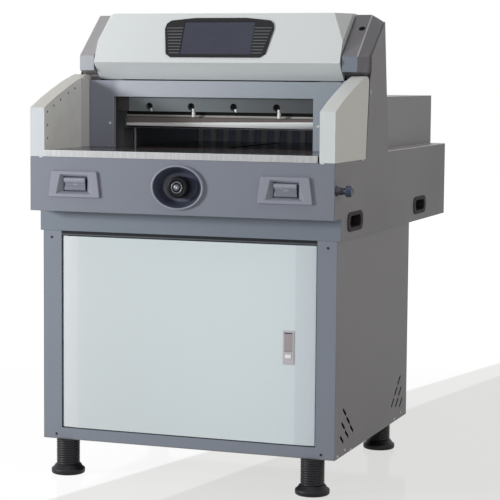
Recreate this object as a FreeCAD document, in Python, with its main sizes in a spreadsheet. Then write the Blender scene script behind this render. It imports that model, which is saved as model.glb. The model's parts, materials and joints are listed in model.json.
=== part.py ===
import FreeCAD, Part
import math
import os
import re

import Sketcher

# Free-standing electric paper cutter with a 520 mm cut: a sheet-metal cabinet on four screw feet,
# a control box with a hand wheel and two cut buttons, a cutting table between two white guards,
# and a cast frame that carries the clamp and the knife under a hinged hood.
# X points to the right of someone standing in front, Y into the depth, Z up.
# The origin is on the floor, midway between the four feet. Depths in this file are counted
# from the face of the control box, and every piece is moved by the same amount to that origin.

driving_sizes = {
    # stand
    "foot_high": 90,
    "foot_in": 70,
    "foot_inset": 16,
    "foot_back": 55,
    "foot_disc_radius": 44,
    "foot_disc_high": 14,
    "foot_cone_high": 11,
    "foot_post_radius": 30,
    "foot_stem_radius": 10,
    "foot_stem_long": 26,
    "foot_travel": 20,
    "cabinet_high": 536,
    "cabinet_in": 8.5,
    "cabinet_deep": 673,
    "cabinet_sheet": 1.5,
    "cabinet_floor_thick": 3,
    "post_wide": 49,
    "post_deep": 33,
    "sill_high": 26,
    "header_high": 10,
    "rail_deep": 30,
    "vent_long": 34,
    "vent_high": 8,
    "vent_lean": 35,
    "vent_in": 79,
    "vent_level": 107,
    "vent_step": 31.5,
    "vent_fall": 26,
    "vent_drift": 10.5,
    "vent_drop": 32.5,
    # door and its pull handle
    "door_gap": 3,
    "door_thick": 20,
    "door_skin": 1.5,
    "door_fold_wide": 47,
    "door_fold_back": 4,
    "door_pin_radius": 2.5,
    "door_pin_inset": 7,
    "door_pin_back": 9,
    "lock_rise": 4,
    "lock_wide": 28,
    "lock_high": 83,
    "lock_proud": 2,
    "lock_body_deep": 18,
    "lever_wide": 20,
    "lever_high": 44,
    "lever_thick": 7,
    "release_wide": 16,
    "release_high": 10,
    "release_travel": 3,
    # body
    "body_wide": 800,
    "body_deep": 1096,
    "body_sheet": 3,
    "apron_step": 57,
    "tier_high": 54,
    "box_high": 136,
    "side_rise": 14,
    "rear_cover_high": 139,
    "rear_cover_in": 42,
    "rear_cover_inset": 6,
    "grip_wide": 132,
    "grip_high": 48,
    "grip_deep": 25,
    "grip_flange": 4,
    "grip_proud": 2,
    "grip_front_at": 175,
    "grip_rear_in": 289,
    "grip_rise": 42,
    # table and throat
    "table_thick": 17,
    "table_gap": 4,
    "table_rear_in": 11,
    "fascia_at": 235,
    "fascia_top": 174,
    "fascia_in": 56,
    "opening_high": 132,
    "fascia_lip": 12,
    "stick_wide": 15.4,
    "stick_high": 9.7,
    "fence_thick": 6,
    "fence_high": 65,
    "fence_in": 8,
    "fence_gap": 4,
    # cast frame
    "cheek_thick": 55,
    "cheek_in": 130,
    "rail_in": 50,
    "cheek_front": 284,
    "cheek_deep": 146,
    "cheek_top": 252,
    "rail_thick": 28,
    "rail_front": 62,
    "bridge_front": 350,
    "bridge_deep": 50,
    "bridge_high": 115,
    "crown_front": 286,
    "crown_thick": 8,
    # clamp
    "clamp_front": 286,
    "clamp_deep": 60,
    "clamp_high": 66,
    "clamp_travel": 51,
    "clamp_screw_in": 100,
    "clamp_screw_radius": 8,
    "clamp_motor_radius": 28,
    "clamp_motor_high": 52,
    # knife
    "knife_lean": 15,
    "knife_drop": 53.5,
    "knife_back": 280,
    "blade_thick": 9.5,
    "shank_thick": 5,
    "knife_shift": 15,
    "blade_short": 4,
    "blade_step": 31,
    "blade_high": 99,
    "bevel_high": 14,
    "blade_chamfer": 5,
    "carrier_thick": 22,
    "carrier_over": 30,
    "carrier_low": 95,
    "carrier_high": 75,
    "bore_first": 183,
    "bore_pitch": 116.4,
    "bore_level": 108,
    "bore_radius": 9.3,
    "bore_deep": 12,
    "pin_radius": 4.5,
    "pin_shift": 5,
    "pin_top": 103,
    "long_pin": 22,
    "short_pin": 8,
    "slide_level": 142,
    "slide_over": 20,
    "slide_shift": 14,
    "slide_half": 12,
    "slide_long": 50,
    "slide_deep": 36,
    "knife_screw_radius": 7,
    "knife_screw_at": 303,
    "gearbox_high": 54,
    "knife_motor_radius": 32,
    "knife_motor_long": 75,
    # shoulders and hood
    "shoulder_in": 21.5,
    "shoulder_front": 248,
    "shoulder_low": 200,
    "shoulder_under": 185,
    "shoulder_bend": 238,
    "shoulder_top": 345.5,
    "shoulder_top_at": 376,
    "shoulder_rear": 420,
    "shoulder_rear_top": 329,
    "shoulder_chamfer": 56,
    "shoulder_wall": 3,
    "column_at": 291,
    "back_lean": 0.1424,
    "back_at": 472,
    "wing_top_at": 424,
    "hood_in": 65,
    "hood_gap": 3.7,
    "hood_sheet": 3,
    "hood_lip_at": 280,
    "hood_lip": 177,
    "hood_crease_at": 240,
    "hood_crease": 221,
    "hood_top_at": 297,
    "hood_top": 348,
    "hood_bend_at": 386,
    "hood_rear_at": 418,
    "hood_rear_top": 332.6,
    "hood_corner_in": 32,
    "hood_corner_down": 72,
    "hood_corner_back": 55,
    "hinge_at": 424,
    "hinge_level": 336,
    "hinge_pin_radius": 2.5,
    "hinge_barrel_radius": 5,
    "hinge_long": 24,
    "hinge_in": 115,
    "screen_half": 96,
    "screen_low": 23,
    "screen_high": 90,
    "screen_deep": 14,
    "panel_thick": 3,
    "key_at": 333,
    "key_in": 35,
    "key_radius": 8.5,
    "key_long": 24,
    # guards
    "guard_thick": 39,
    "guard_sheet": 2,
    # gauge drive and hand wheel
    "screw_rise": 68.5,
    "screw_radius": 10,
    "guide_side": 120,
    "guide_radius": 10,
    "support_front": 300,
    "support_thick": 12,
    "support_in": 60,
    "support_below": 26,
    "support_half": 150,
    "gauge_motor_half": 43,
    "gauge_motor_long": 42,
    "gauge_gap": 2,
    "gauge_in": 296,
    "gauge_front": 355,
    "gauge_thick": 18,
    "gauge_high": 60,
    "gauge_rib": 15.7,
    "gauge_rib_deep": 12,
    "carriage_long": 34,
    "carriage_high": 41,
    "stem_half": 11,
    "dial_half_wide": 69.5,
    "dial_half_high": 55,
    "dial_rim": 6.5,
    "dial_proud": 8,
    "dial_deep": 22,
    "dial_wall": 3,
    "wheel_radius": 27,
    "wheel_long": 24,
    "wheel_set_in": 2,
    "journal_radius": 8,
    "journal_long": 14,
    "cap_radius": 15.4,
    "cap_thick": 4,
    # cut buttons and side knob
    "button_in": 123,
    "button_rise": 69,
    "bezel_top_half": 62,
    "bezel_low_half": 70.5,
    "bezel_half_high": 33,
    "bezel_proud": 6,
    "bezel_body_deep": 14,
    "recess_top_half": 35,
    "recess_low_half": 49,
    "recess_half_high": 26,
    "recess_deep": 18,
    "paddle_half": 29,
    "paddle_half_high": 15.5,
    "paddle_thick": 8,
    "paddle_set_in": 3,
    "button_travel": 5,
    "button_stem_radius": 6,
    "button_stem_long": 20,
    "knob_at": 17,
    "knob_rise": 70,
    "knob_ring_radius": 12,
    "knob_neck_radius": 8,
    "knob_cap_radius": 13.5,
    "knob_spindle_radius": 5,
    # electrics
    "inlet_in": 150,
    "inlet_rise": 64,
    "inlet_wide": 48,
    "inlet_high": 28,
    "box_in": 160,
    "box_rise": 210,
    "box_short": 256,
    "box_deep": 168,
    "box_wall": 2,
    # clearances
    "face_gap": 0.3,
    "running_gap": 0.08,
}

# sizes that follow from the ones above, as expressions on them
tied_sizes = {
    "foot_front": "apron_step + foot_inset",
    "foot_rear": "apron_step + cabinet_deep - foot_back",
    "foot_side": "body_wide / 2 - foot_in",
    "cabinet_wide": "body_wide - 2 * cabinet_in",
    "cabinet_top": "foot_high + cabinet_high",
    "box_bottom": "cabinet_top + tier_high",
    "box_top": "box_bottom + box_high",
    "lock_side": "cheek_inner",
    "lock_level": "foot_high + cabinet_high / 2 + lock_rise",
    "rear_cover_half": "body_wide / 2 - rear_cover_in",
    "grip_rear_at": "body_deep - grip_rear_in",
    "grip_level": "cabinet_top + grip_rise",
    "table_front_half": "body_wide / 2 - guard_thick - table_gap",
    "table_rear_half": "rail_outer",
    "table_rear_end": "body_deep - table_rear_in",
    "throat_half": "cheek_inner - 1",
    "fascia_half": "body_wide / 2 - fascia_in",
    "fence_at": "cheek_inner - fence_in",
    "fence_from": "clamp_front + clamp_deep + fence_gap",
    "fence_to": "support_rear - fence_thick",
    "cheek_inner": "body_wide / 2 - cheek_in",
    "rail_outer": "body_wide / 2 - rail_in",
    "rail_rear": "body_deep - body_sheet - 5",
    "clamp_screw_at": "cheek_inner - clamp_screw_in",
    "blade_left": "cheek_inner - knife_shift",
    "blade_long": "2 * cheek_inner - blade_short",
    "carrier_left": "cheek_inner + carrier_over",
    "carrier_long": "2 * cheek_inner + 2 * carrier_over + 2 * knife_shift",
    "slide_left_at": "cheek_inner + slide_over",
    "slide_right_at": "cheek_inner + slide_over + slide_shift",
    "shoulder_inner": "hood_half + hood_gap",
    "shoulder_edge": "body_wide / 2 - shoulder_in",
    "hood_half": "body_wide / 2 - hood_in",
    "hinge_side": "hood_half - hinge_in",
    "key_side": "body_wide / 2 - key_in",
    "screw_level": "box_bottom + screw_rise",
    "screw_rear": "support_rear + 4",
    "support_rear": "body_deep - support_in",
    "support_top": "box_top - support_below",
    "gauge_half": "fence_at - gauge_gap",
    "gauge_at": "body_deep - gauge_in",
    "gauge_travel": "gauge_at - gauge_front",
    "button_side": "body_wide / 2 - button_in",
    "button_level": "box_bottom + button_rise",
    "knob_level": "box_bottom + knob_rise",
    "inlet_side": "body_wide / 2 - inlet_in",
    "inlet_level": "cabinet_top + inlet_rise",
    "box_half": "body_wide / 2 - box_in",
    "box_low": "foot_high + box_rise",
    "box_tall": "cabinet_high - box_short",
}

gauge_rib_count = 14
bore_count = 4

os.makedirs("parts", exist_ok=True)
doc = FreeCAD.newDocument("paper_cutter")
sheet = doc.addObject("Spreadsheet::Sheet", "Sizes")
for row, (alias, value) in enumerate(driving_sizes.items(), start=1):
    sheet.set(f"A{row}", alias)
    sheet.set(f"B{row}", str(value))
    sheet.setAlias(f"B{row}", alias)
doc.recompute()

nodes = {}
maths = {"sin", "cos", "tan", "atan", "sqrt"}

# levels, as expressions on the sheet
cabinet_top = "cabinet_top"
box_bottom = "box_bottom"
box_top = "box_top"
side_top = f"({box_top} + side_rise)"
table_top = f"({box_top} + table_thick)"
half = "body_wide / 2"
pan_top = f"({cabinet_top} + body_sheet)"
knife_edge = f"({table_top} + knife_drop - 0.5)"
crown_low = f"({table_top} + cheek_top)"
crown_top = f"({crown_low} + crown_thick)"
cabinet_rear = "(apron_step + cabinet_deep)"
inner_side = f"({half} - body_sheet)"
cabinet_half = "(cabinet_wide / 2)"
rear_cover_top = f"({side_top} + rear_cover_high)"
hood_slope = "atan((hood_crease_at - hood_top_at) / (hood_top - hood_crease))"


def bind(text):
    """An expression on the sheet: each plain word is one of its aliases or a tied size."""
    def word_for(match):
        word = match.group()
        if word in maths:
            return word
        if word in tied_sizes:
            return f"({bind(tied_sizes[word])})"
        return "Sizes." + word

    return re.sub(r"[a-z][a-z_]*", word_for, str(text))


def place(item, x="0", y="0", z="0"):
    """Puts an item's corner or centre at x, y, z, counted from the face of the control box."""
    item.setExpression("Placement.Base.x", bind(x))
    item.setExpression("Placement.Base.y", bind(f"({y}) - (foot_front + foot_rear) / 2"))
    item.setExpression("Placement.Base.z", bind(z))
    return item


def node(label, item):
    item.Label = label
    nodes[label] = item
    return item


def block(x, y, z):
    """A box between two values along each axis."""
    item = doc.addObject("Part::Box", "Block")
    for name, (low, high) in (("Length", x), ("Width", y), ("Height", z)):
        item.setExpression(name, bind(f"({high}) - ({low})"))
    return place(item, x[0], y[0], z[0])


def pair(half_value):
    return (f"0 - ({half_value})", half_value)


def rod(along, radius, span, x="0", y="0", z="0"):
    """A round bar along one axis, between two values on that axis."""
    item = doc.addObject("Part::Cylinder", "Rod")
    item.setExpression("Radius", bind(radius))
    item.setExpression("Height", bind(f"({span[1]}) - ({span[0]})"))
    turns = {"X": ((0, 1, 0), 90), "Y": ((1, 0, 0), -90), "Z": ((0, 0, 1), 0)}
    axis, angle = turns[along]
    item.Placement = FreeCAD.Placement(FreeCAD.Vector(), FreeCAD.Rotation(FreeCAD.Vector(*axis), angle))
    at = {"X": x, "Y": y, "Z": z}
    at[along] = span[0]
    return place(item, at["X"], at["Y"], at["Z"])


def leaning_block(centre_x, centre_z, along, half_wide, y):
    """A box turned by the knife's lean, measured along its path from a centre."""
    item = doc.addObject("Part::Box", "LeaningBlock")
    item.setExpression("Length", bind(f"2 * ({half_wide})"))
    item.setExpression("Width", bind(f"({y[1]}) - ({y[0]})"))
    item.setExpression("Height", bind(f"({along[1]}) - ({along[0]})"))
    item.Placement = FreeCAD.Placement(FreeCAD.Vector(), FreeCAD.Rotation(FreeCAD.Vector(0, 1, 0), 10))
    item.setExpression("Placement.Rotation.Angle", bind("knife_lean"))
    place(item, f"({centre_x}) - ({half_wide}) * cos(knife_lean) + ({along[0]}) * sin(knife_lean)", y[0],
          f"({centre_z}) + ({half_wide}) * sin(knife_lean) + ({along[0]}) * cos(knife_lean)")
    return item


def leaning_rod(centre_x, centre_z, along, radius, y):
    item = doc.addObject("Part::Cylinder", "LeaningRod")
    item.setExpression("Radius", bind(radius))
    item.setExpression("Height", bind(f"({along[1]}) - ({along[0]})"))
    item.Placement = FreeCAD.Placement(FreeCAD.Vector(), FreeCAD.Rotation(FreeCAD.Vector(0, 1, 0), 10))
    item.setExpression("Placement.Rotation.Angle", bind("knife_lean"))
    place(item, f"({centre_x}) + ({along[0]}) * sin(knife_lean)", y,
          f"({centre_z}) + ({along[0]}) * cos(knife_lean)")
    return item


def oval(half_wide, half_high, span, z):
    """An elliptical disc on the machine's centre line, its axis along Y."""
    ring = doc.addObject("Part::Ellipse", "Ellipse")
    ring.Placement = FreeCAD.Placement(FreeCAD.Vector(), FreeCAD.Rotation(FreeCAD.Vector(1, 0, 0), 90))
    ring.setExpression("MajorRadius", bind(half_wide))
    ring.setExpression("MinorRadius", bind(half_high))
    place(ring, "0", span[0], z)
    item = doc.addObject("Part::Extrusion", "Oval")
    item.Base = ring
    item.DirMode = "Custom"
    item.Dir = FreeCAD.Vector(0, 1, 0)
    item.Solid = True
    item.setExpression("LengthFwd", bind(f"({span[1]}) - ({span[0]})"))
    return item


def outline(sketch, points, rounds=()):
    """A closed outline of straight edges, each corner held by two bound dimensions, and circles."""
    count = len(points)

    def rough(step):
        turn = 2 * math.pi * step / max(count, 1)
        return FreeCAD.Vector(200 * math.cos(turn), 200 * math.sin(turn), 0)

    for step in range(count):
        sketch.addGeometry(Part.LineSegment(rough(step), rough(step + 1)), False)
    for step in range(count):
        sketch.addConstraint(Sketcher.Constraint("Coincident", step, 2, (step + 1) % count, 1))
    for step, corner in enumerate(points):
        for letter, value in zip("XY", corner):
            start = rough(step).x if letter == "X" else rough(step).y
            index = sketch.addConstraint(Sketcher.Constraint("Distance" + letter, -1, 1, step, 1, start))
            sketch.renameConstraint(index, f"corner{letter}{step}")
            sketch.setExpression(f"Constraints.corner{letter}{step}", bind(value))
    for step, (across, up, radius) in enumerate(rounds):
        circle = sketch.addGeometry(Part.Circle(FreeCAD.Vector(1, 1, 0), FreeCAD.Vector(0, 0, 1), 5), False)
        for kind, value in (("X", across), ("Y", up)):
            index = sketch.addConstraint(Sketcher.Constraint("Distance" + kind, -1, 1, circle, 3, 1))
            sketch.renameConstraint(index, f"centre{kind}{step}")
            sketch.setExpression(f"Constraints.centre{kind}{step}", bind(value))
        index = sketch.addConstraint(Sketcher.Constraint("Radius", circle, 5))
        sketch.renameConstraint(index, f"radius{step}")
        sketch.setExpression(f"Constraints.radius{step}", bind(radius))


def drawn(body, plane, offset, points, rounds=()):
    """A sketch on one of the body's own planes, at an offset along that plane's normal."""
    sketch = body.newObject("Sketcher::SketchObject", "Outline")
    support = [item for item in body.Origin.OriginFeatures if item.Role == plane + "_Plane"]
    sketch.AttachmentSupport = [(support[0], "")]
    sketch.MapMode = "FlatFace"
    sketch.setExpression("AttachmentOffset.Base.z", bind(offset))
    outline(sketch, points, rounds)
    return sketch


def padded(plane, span, points, rounds=(), name="Plate"):
    """A plate of the given outline between two values on the axis across its plane."""
    body = place(doc.addObject("PartDesign::Body", name))
    start = f"0 - ({span[1]})" if plane == "XZ" else span[0]
    pad = body.newObject("PartDesign::Pad", "Pad")
    pad.Profile = drawn(body, plane, start, points, rounds)
    pad.setExpression("Length", bind(f"({span[1]}) - ({span[0]})"))
    return body


def pocketed(body, plane, span, points, rounds=()):
    """Cuts the given outline out of a body between two values."""
    start = f"0 - ({span[0]})" if plane == "XZ" else span[1]
    sketch = drawn(body, plane, start, points, rounds)
    doc.recompute()
    before = body.Shape.Volume
    pocket = body.newObject("PartDesign::Pocket", "Pocket")
    pocket.Profile = sketch
    pocket.setExpression("Length", bind(f"({span[1]}) - ({span[0]})"))
    doc.recompute()
    assert body.Shape.Volume < before, f"a pocket in {body.Label} cuts nothing"
    return body


def turned(profile, along="Z", x="0", y="0", z="0", tilt=None):
    """A body of revolution: the profile gives radius and height from its base."""
    body = doc.addObject("PartDesign::Body", "Turned")
    turn = body.newObject("PartDesign::Revolution", "Revolution")
    sketch = drawn(body, "XZ", "0", profile)
    turn.Profile = sketch
    turn.ReferenceAxis = (sketch, ["V_Axis"])
    turn.Angle = 360
    turns = {"X": ((0, 1, 0), 90), "Y": ((1, 0, 0), -90), "Z": ((0, 0, 1), 0), "tilt": ((1, 0, 0), 10)}
    axis, angle = turns["tilt" if tilt else along]
    body.Placement = FreeCAD.Placement(FreeCAD.Vector(), FreeCAD.Rotation(FreeCAD.Vector(*axis), angle))
    if tilt:
        body.setExpression("Placement.Rotation.Angle", bind(tilt))
    return place(body, x, y, z)


def fused(items, name="Fuse"):
    item = doc.addObject("Part::MultiFuse", name)
    item.Shapes = items
    item.Refine = True
    return item


def cut(base, tools, name="Cut"):
    item = doc.addObject("Part::Cut", name)
    item.Base = base
    item.Tool = tools[0] if len(tools) == 1 else fused(tools)
    return item


def mirrored(source):
    item = doc.addObject("Part::Mirroring", "Mirrored")
    item.Source = source
    item.Base = FreeCAD.Vector(0, 0, 0)
    item.Normal = FreeCAD.Vector(1, 0, 0)
    return item


def together(items):
    item = doc.addObject("Part::Compound", "Group")
    item.Links = items
    return item


def levelling_feet():
    """Black screw feet: a disc, a cone, a thick post and a stem that enters the cabinet."""
    top = "foot_high - face_gap"
    profile = [("0", "0"), ("foot_disc_radius - 2", "0"), ("foot_disc_radius", "2"),
               ("foot_disc_radius", "foot_disc_high"),
               ("foot_post_radius + 1", "foot_disc_high + foot_cone_high"),
               ("foot_post_radius", "foot_disc_high + foot_cone_high"), ("foot_post_radius", top),
               ("foot_stem_radius", top), ("foot_stem_radius", "foot_high + foot_stem_long"),
               ("0", "foot_high + foot_stem_long")]
    for side, x in (("left", "0 - foot_side"), ("right", "foot_side")):
        for end, y in (("front", "foot_front"), ("rear", "foot_rear")):
            node(f"levelling_foot_{end}_{side}", turned(profile, x=x, y=y))


def foot_places():
    return [(x, y) for x in ("0 - foot_side", "foot_side") for y in ("foot_front", "foot_rear")]


def vent(y, z, axis):
    """A leaning slot through the stand's side, about its own centre."""
    item = doc.addObject("Part::Box", "Vent")
    item.setExpression("Length", bind("cabinet_sheet + 2"))
    item.setExpression("Width", bind("vent_long"))
    item.setExpression("Height", bind("vent_high"))
    item.Placement = FreeCAD.Placement(FreeCAD.Vector(), FreeCAD.Rotation(FreeCAD.Vector(axis, 0, 0), 10))
    item.setExpression("Placement.Rotation.Angle", bind("vent_lean"))
    return place(item, f"{cabinet_half} - cabinet_sheet - 1",
                 f"({y}) - vent_long / 2 * cos(vent_lean) + ({axis}) * vent_high / 2 * sin(vent_lean)",
                 f"({z}) - ({axis}) * vent_long / 2 * sin(vent_lean) - vent_high / 2 * cos(vent_lean)")


def cabinet():
    """Sheet-metal stand: floor with welded foot sockets, sides with vents, back and door frame."""
    inner = f"({cabinet_half} - cabinet_sheet)"
    front = "apron_step"
    floor = block(pair(f"{inner} - face_gap"), (front, cabinet_rear),
                  ("foot_high", "foot_high + cabinet_floor_thick"))
    socket_top = "foot_high + foot_stem_long + 1"
    sockets = [rod("Z", "foot_stem_radius + 7", ("foot_high", socket_top), x=x, y="foot_rear")
               for x in ("foot_side", "0 - foot_side")]
    bores = [rod("Z", "foot_stem_radius + running_gap", ("foot_high - 1", f"{socket_top} + 1"), x=x, y=y)
             for x, y in foot_places()]
    node("cabinet_floor", cut(fused([floor] + sockets), bores))

    panel = block((inner, cabinet_half), (front, cabinet_rear), ("foot_high", cabinet_top))
    vents = []
    for corner, sign, axis in ((f"({front} + vent_in)", "", -1), (f"({cabinet_rear} - vent_in)", "0 - ", 1)):
        for row, column in ((0, 0), (1, 0), (2, 0), (0, 1), (1, 1), (0, 2)):
            y = f"{corner} + ({sign}1) * ({row} * vent_step - {column} * vent_drift)"
            z = f"foot_high + vent_level - {row} * vent_fall - {column} * vent_drop"
            vents.append(vent(y, z, axis))
    side = node("cabinet_side_right", cut(panel, vents))
    node("cabinet_side_left", mirrored(side))
    node("cabinet_back", block(pair(f"{inner} - face_gap"), (f"{cabinet_rear} - cabinet_sheet", cabinet_rear),
                               ("foot_high + cabinet_floor_thick", cabinet_top)))

    floor_top = "foot_high + cabinet_floor_thick"
    post_inner = f"({inner} - post_wide)"
    sill_top = f"({floor_top} + sill_high)"
    header_low = f"({cabinet_top} - header_high)"
    pieces = [block(pair(f"{inner}"), (front, f"{front} + rail_deep"), (floor_top, sill_top)),
              block(pair(f"{inner}"), (front, f"{front} + rail_deep"), (header_low, cabinet_top))]
    hollows = []
    bores = [rod("Z", "foot_stem_radius + running_gap", (f"{floor_top} - 1", f"{floor_top} + foot_stem_long - 2"),
                 x=x, y="foot_front") for x in ("foot_side", "0 - foot_side")]
    for x in ((post_inner, inner), (f"0 - {inner}", f"0 - {post_inner}")):
        pieces.append(block(x, (front, f"{front} + post_deep"), (floor_top, cabinet_top)))
        hollows.append(block((f"{x[0]} + 2", f"{x[1]} - 2"), (f"{front} + 2", f"{front} + post_deep - 2"),
                             (f"{sill_top} + 5", f"{header_low} - 5")))
    pin_x = f"0 - ({post_inner} - door_gap - door_pin_inset)"
    pin_y = f"{front} + door_pin_back"
    pins = [rod("Z", "door_pin_radius", (f"{sill_top} - 1", f"{sill_top} + 5"), x=pin_x, y=pin_y),
            rod("Z", "door_pin_radius", (f"{header_low} - 5", f"{header_low} + 1"), x=pin_x, y=pin_y)]
    node("door_frame", fused([cut(fused(pieces), hollows + bores)] + pins))

    door_half = f"({post_inner} - door_gap)"
    low = f"({sill_top} + door_gap)"
    high = f"({header_low} - door_gap)"
    flat_half = f"({door_half} - door_fold_wide)"

    def leaf_section(half, face, rear):
        """The door's face with a strip on each side that falls back a little."""
        fold = f"{face} + door_fold_back"
        return [(f"0 - {half}", fold), (f"0 - {flat_half}", face), (flat_half, face), (half, fold),
                (half, rear), (f"0 - {half}", rear)]

    leaf = padded("XY", (low, high), leaf_section(door_half, front, f"{front} + door_thick"), name="Door")
    hollow = padded("XY", (f"{low} + door_skin", f"{high} - door_skin"),
                    leaf_section(f"({door_half} - door_skin)", f"{front} + door_skin", f"{front} + door_thick + 1"),
                    name="DoorHollow")
    pin_hole = rod("Z", "door_pin_radius + running_gap", (f"{low} - 1", f"{high} + 1"), x=pin_x, y=pin_y)
    lock_hole = block(("lock_side - lock_wide / 2 + 3 - face_gap", "lock_side + lock_wide / 2 - 3 + face_gap"),
                      (f"{front} - 1", f"{front} + door_skin + 1"),
                      ("lock_level - lock_high / 2 + 3 - face_gap", "lock_level + lock_high / 2 - 3 + face_gap"))
    node("cabinet_door", cut(leaf, [hollow, pin_hole, lock_hole]))


lever_low = "(lock_level - 10)"
lever_top = f"({lever_low} + lever_high)"
lever_axis_z = f"({lever_top} - 4)"
lever_axis_y = "(apron_step + 2)"


def pull_handle():
    """Flush pull handle in the door: a lever hinged at its top and a push button that frees it."""
    front = "apron_step"
    plate = block(("lock_side - lock_wide / 2", "lock_side + lock_wide / 2"), (f"{front} - lock_proud", front),
                  ("lock_level - lock_high / 2", "lock_level + lock_high / 2"))
    case = block(("lock_side - lock_wide / 2 + 3", "lock_side + lock_wide / 2 - 3"),
                 (front, f"{front} + lock_body_deep"),
                 ("lock_level - lock_high / 2 + 3", "lock_level + lock_high / 2 - 3"))
    bay = block(("lock_side - lever_wide / 2 - face_gap", "lock_side + lever_wide / 2 + face_gap"),
                (f"{front} - lock_proud - 1", f"{front} + lever_thick + 4"),
                (f"{lever_low} - 2 * face_gap", f"{lever_top} + 2.6"))
    axle_hole = rod("X", "1.5 + running_gap", ("lock_side - lever_wide / 2 - 1", "lock_side + lever_wide / 2 + 1"),
                    y=lever_axis_y, z=lever_axis_z)
    button_low = "(lock_level - lock_high / 2 + 15)"
    slot = block(("lock_side - release_wide / 2 - face_gap", "lock_side + release_wide / 2 + face_gap"),
                 (f"{front} - lock_proud - 1", f"{front} + lock_body_deep - 4"),
                 (f"{button_low} - face_gap", f"{button_low} + release_high + face_gap"))
    node("lock_body", cut(fused([plate, case]), [bay, axle_hole, slot]))

    lever = block(("lock_side - lever_wide / 2", "lock_side + lever_wide / 2"),
                  (f"{front} - lock_proud - 0.5", f"{front} + lever_thick - lock_proud"), (lever_low, lever_top))
    axle = rod("X", "1.5", ("lock_side - lever_wide / 2 - 0.8", "lock_side + lever_wide / 2 + 0.8"),
               y=lever_axis_y, z=lever_axis_z)
    node("lock_lever", fused([lever, axle]))
    node("lock_button", block(("lock_side - release_wide / 2", "lock_side + release_wide / 2"),
                              (f"{front} - lock_proud - 2", f"{front} + lock_body_deep - 4 - release_travel - 1"),
                              (button_low, f"{button_low} + release_high")))


def grip_place(at):
    return (f"{at} - grip_wide / 2", f"{at} + grip_wide / 2")


def body_casing():
    """Control box face, apron and pan, side sheets that rise into the uprights, back and rear cover."""
    edge = "body_sheet"
    face = block(pair(half), ("0", edge), (box_bottom, box_top))
    returns = [block(pair(f"{inner_side} - face_gap"), (edge, "apron_step + body_sheet"),
                     (box_bottom, f"{box_bottom} + body_sheet")),
               block(pair(f"{inner_side} - face_gap"), (edge, "apron_step / 2"),
                     (f"{box_top} - body_sheet", box_top))]
    holes = [oval("dial_half_wide - 3.2", "dial_half_high - 3.2", ("0 - 1", "body_sheet + 1"), "screw_level")]
    for side in ("button_side", "0 - button_side"):
        holes.append(block((f"{side} - bezel_top_half + 2 - face_gap", f"{side} + bezel_top_half - 2 + face_gap"),
                           ("0 - 1", "body_sheet + 1"),
                           ("button_level - bezel_half_high + 4 - face_gap",
                            "button_level + bezel_half_high - 4 + face_gap")))
    node("front_panel", cut(fused([face] + returns), holes))

    apron = block(pair(half), ("apron_step", "apron_step + body_sheet"), (cabinet_top, box_bottom))
    pan = block(pair(f"{inner_side} - face_gap"), ("apron_step", "body_deep - body_sheet - face_gap"),
                (cabinet_top, pan_top))
    node("base_pan", fused([apron, pan]))

    rise = f"({table_top} + shoulder_low)"
    points = [(edge, box_bottom), (edge, box_top), ("column_at - 26", box_top),
              ("column_at", f"{table_top} + shoulder_under - 10"),
              ("shoulder_front + shoulder_chamfer", rise),
              ("shoulder_front + shoulder_chamfer", f"{table_top} + shoulder_bend"),
              ("wing_top_at", f"{table_top} + shoulder_rear_top"),
              ("back_at", side_top), ("body_deep", side_top), ("body_deep", cabinet_top),
              ("apron_step + body_sheet", cabinet_top), ("apron_step + body_sheet", box_bottom)]
    side = padded("YZ", (inner_side, half), points)
    openings = [rod("X", "knob_spindle_radius + running_gap", (f"{inner_side} - 1", f"{half} + 1"),
                    y="knob_at", z="knob_level")]
    for at in ("grip_front_at", "grip_rear_at"):
        low, high = grip_place(at)
        openings.append(block((f"{inner_side} - 1", f"{half} + 1"),
                              (f"{low} + grip_flange - face_gap", f"{high} - grip_flange + face_gap"),
                              ("grip_level - grip_high / 2 + grip_flange - face_gap",
                               "grip_level + grip_high / 2 - grip_flange + face_gap")))
    node("body_side_right", cut(side, openings))
    node("body_side_left", mirrored(cut(padded("YZ", (inner_side, half), points), openings[1:])))

    back = block(pair(f"{inner_side} - face_gap"), ("body_deep - body_sheet", "body_deep"), (cabinet_top, side_top))
    socket = block(("inlet_side - face_gap", "inlet_side + inlet_wide + face_gap"),
                   ("body_deep - body_sheet - 1", "body_deep + 1"),
                   ("inlet_level - face_gap", "inlet_level + inlet_high + face_gap"))
    node("body_back", cut(back, [socket]))

    inside = f"rear_cover_half - body_sheet"
    low = f"({side_top} - body_sheet)"
    rear_end = "(body_deep - rear_cover_inset)"
    flange = block(pair(f"{inner_side} - face_gap"), ("back_at + 2", "body_deep - body_sheet - face_gap"),
                   (low, side_top))
    lid = block(pair("rear_cover_half"), ("back_at - 30", rear_end), (low, rear_cover_top))
    bay = block(pair(inside), ("back_at - 31", f"{rear_end} - body_sheet"),
                (f"{low} - 1", f"{rear_cover_top} - body_sheet"))
    node("rear_cover", cut(fused([flange, lid]), [bay]))


def grips():
    """Four recessed side grips of black plastic, each with a raised rim."""
    cups = []
    for at in ("grip_front_at", "grip_rear_at"):
        low, high = grip_place(at)
        level = ("grip_level - grip_high / 2", "grip_level + grip_high / 2")
        rim = block((half, f"{half} + grip_proud"), (low, high), level)
        tub = block((f"{half} - grip_deep - 3", half), (f"{low} + grip_flange", f"{high} - grip_flange"),
                    (f"{level[0]} + grip_flange", f"{level[1]} - grip_flange"))
        recess = block((f"{half} - grip_deep", f"{half} + grip_proud + 1"),
                       (f"{low} + grip_flange + 3", f"{high} - grip_flange - 3"),
                       (f"{level[0]} + grip_flange + 3", f"{level[1]} - grip_flange - 3"))
        cups.append(cut(fused([rim, tub]), [recess]))
    node("grip_cups", together(cups + [mirrored(cup) for cup in cups]))


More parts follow.
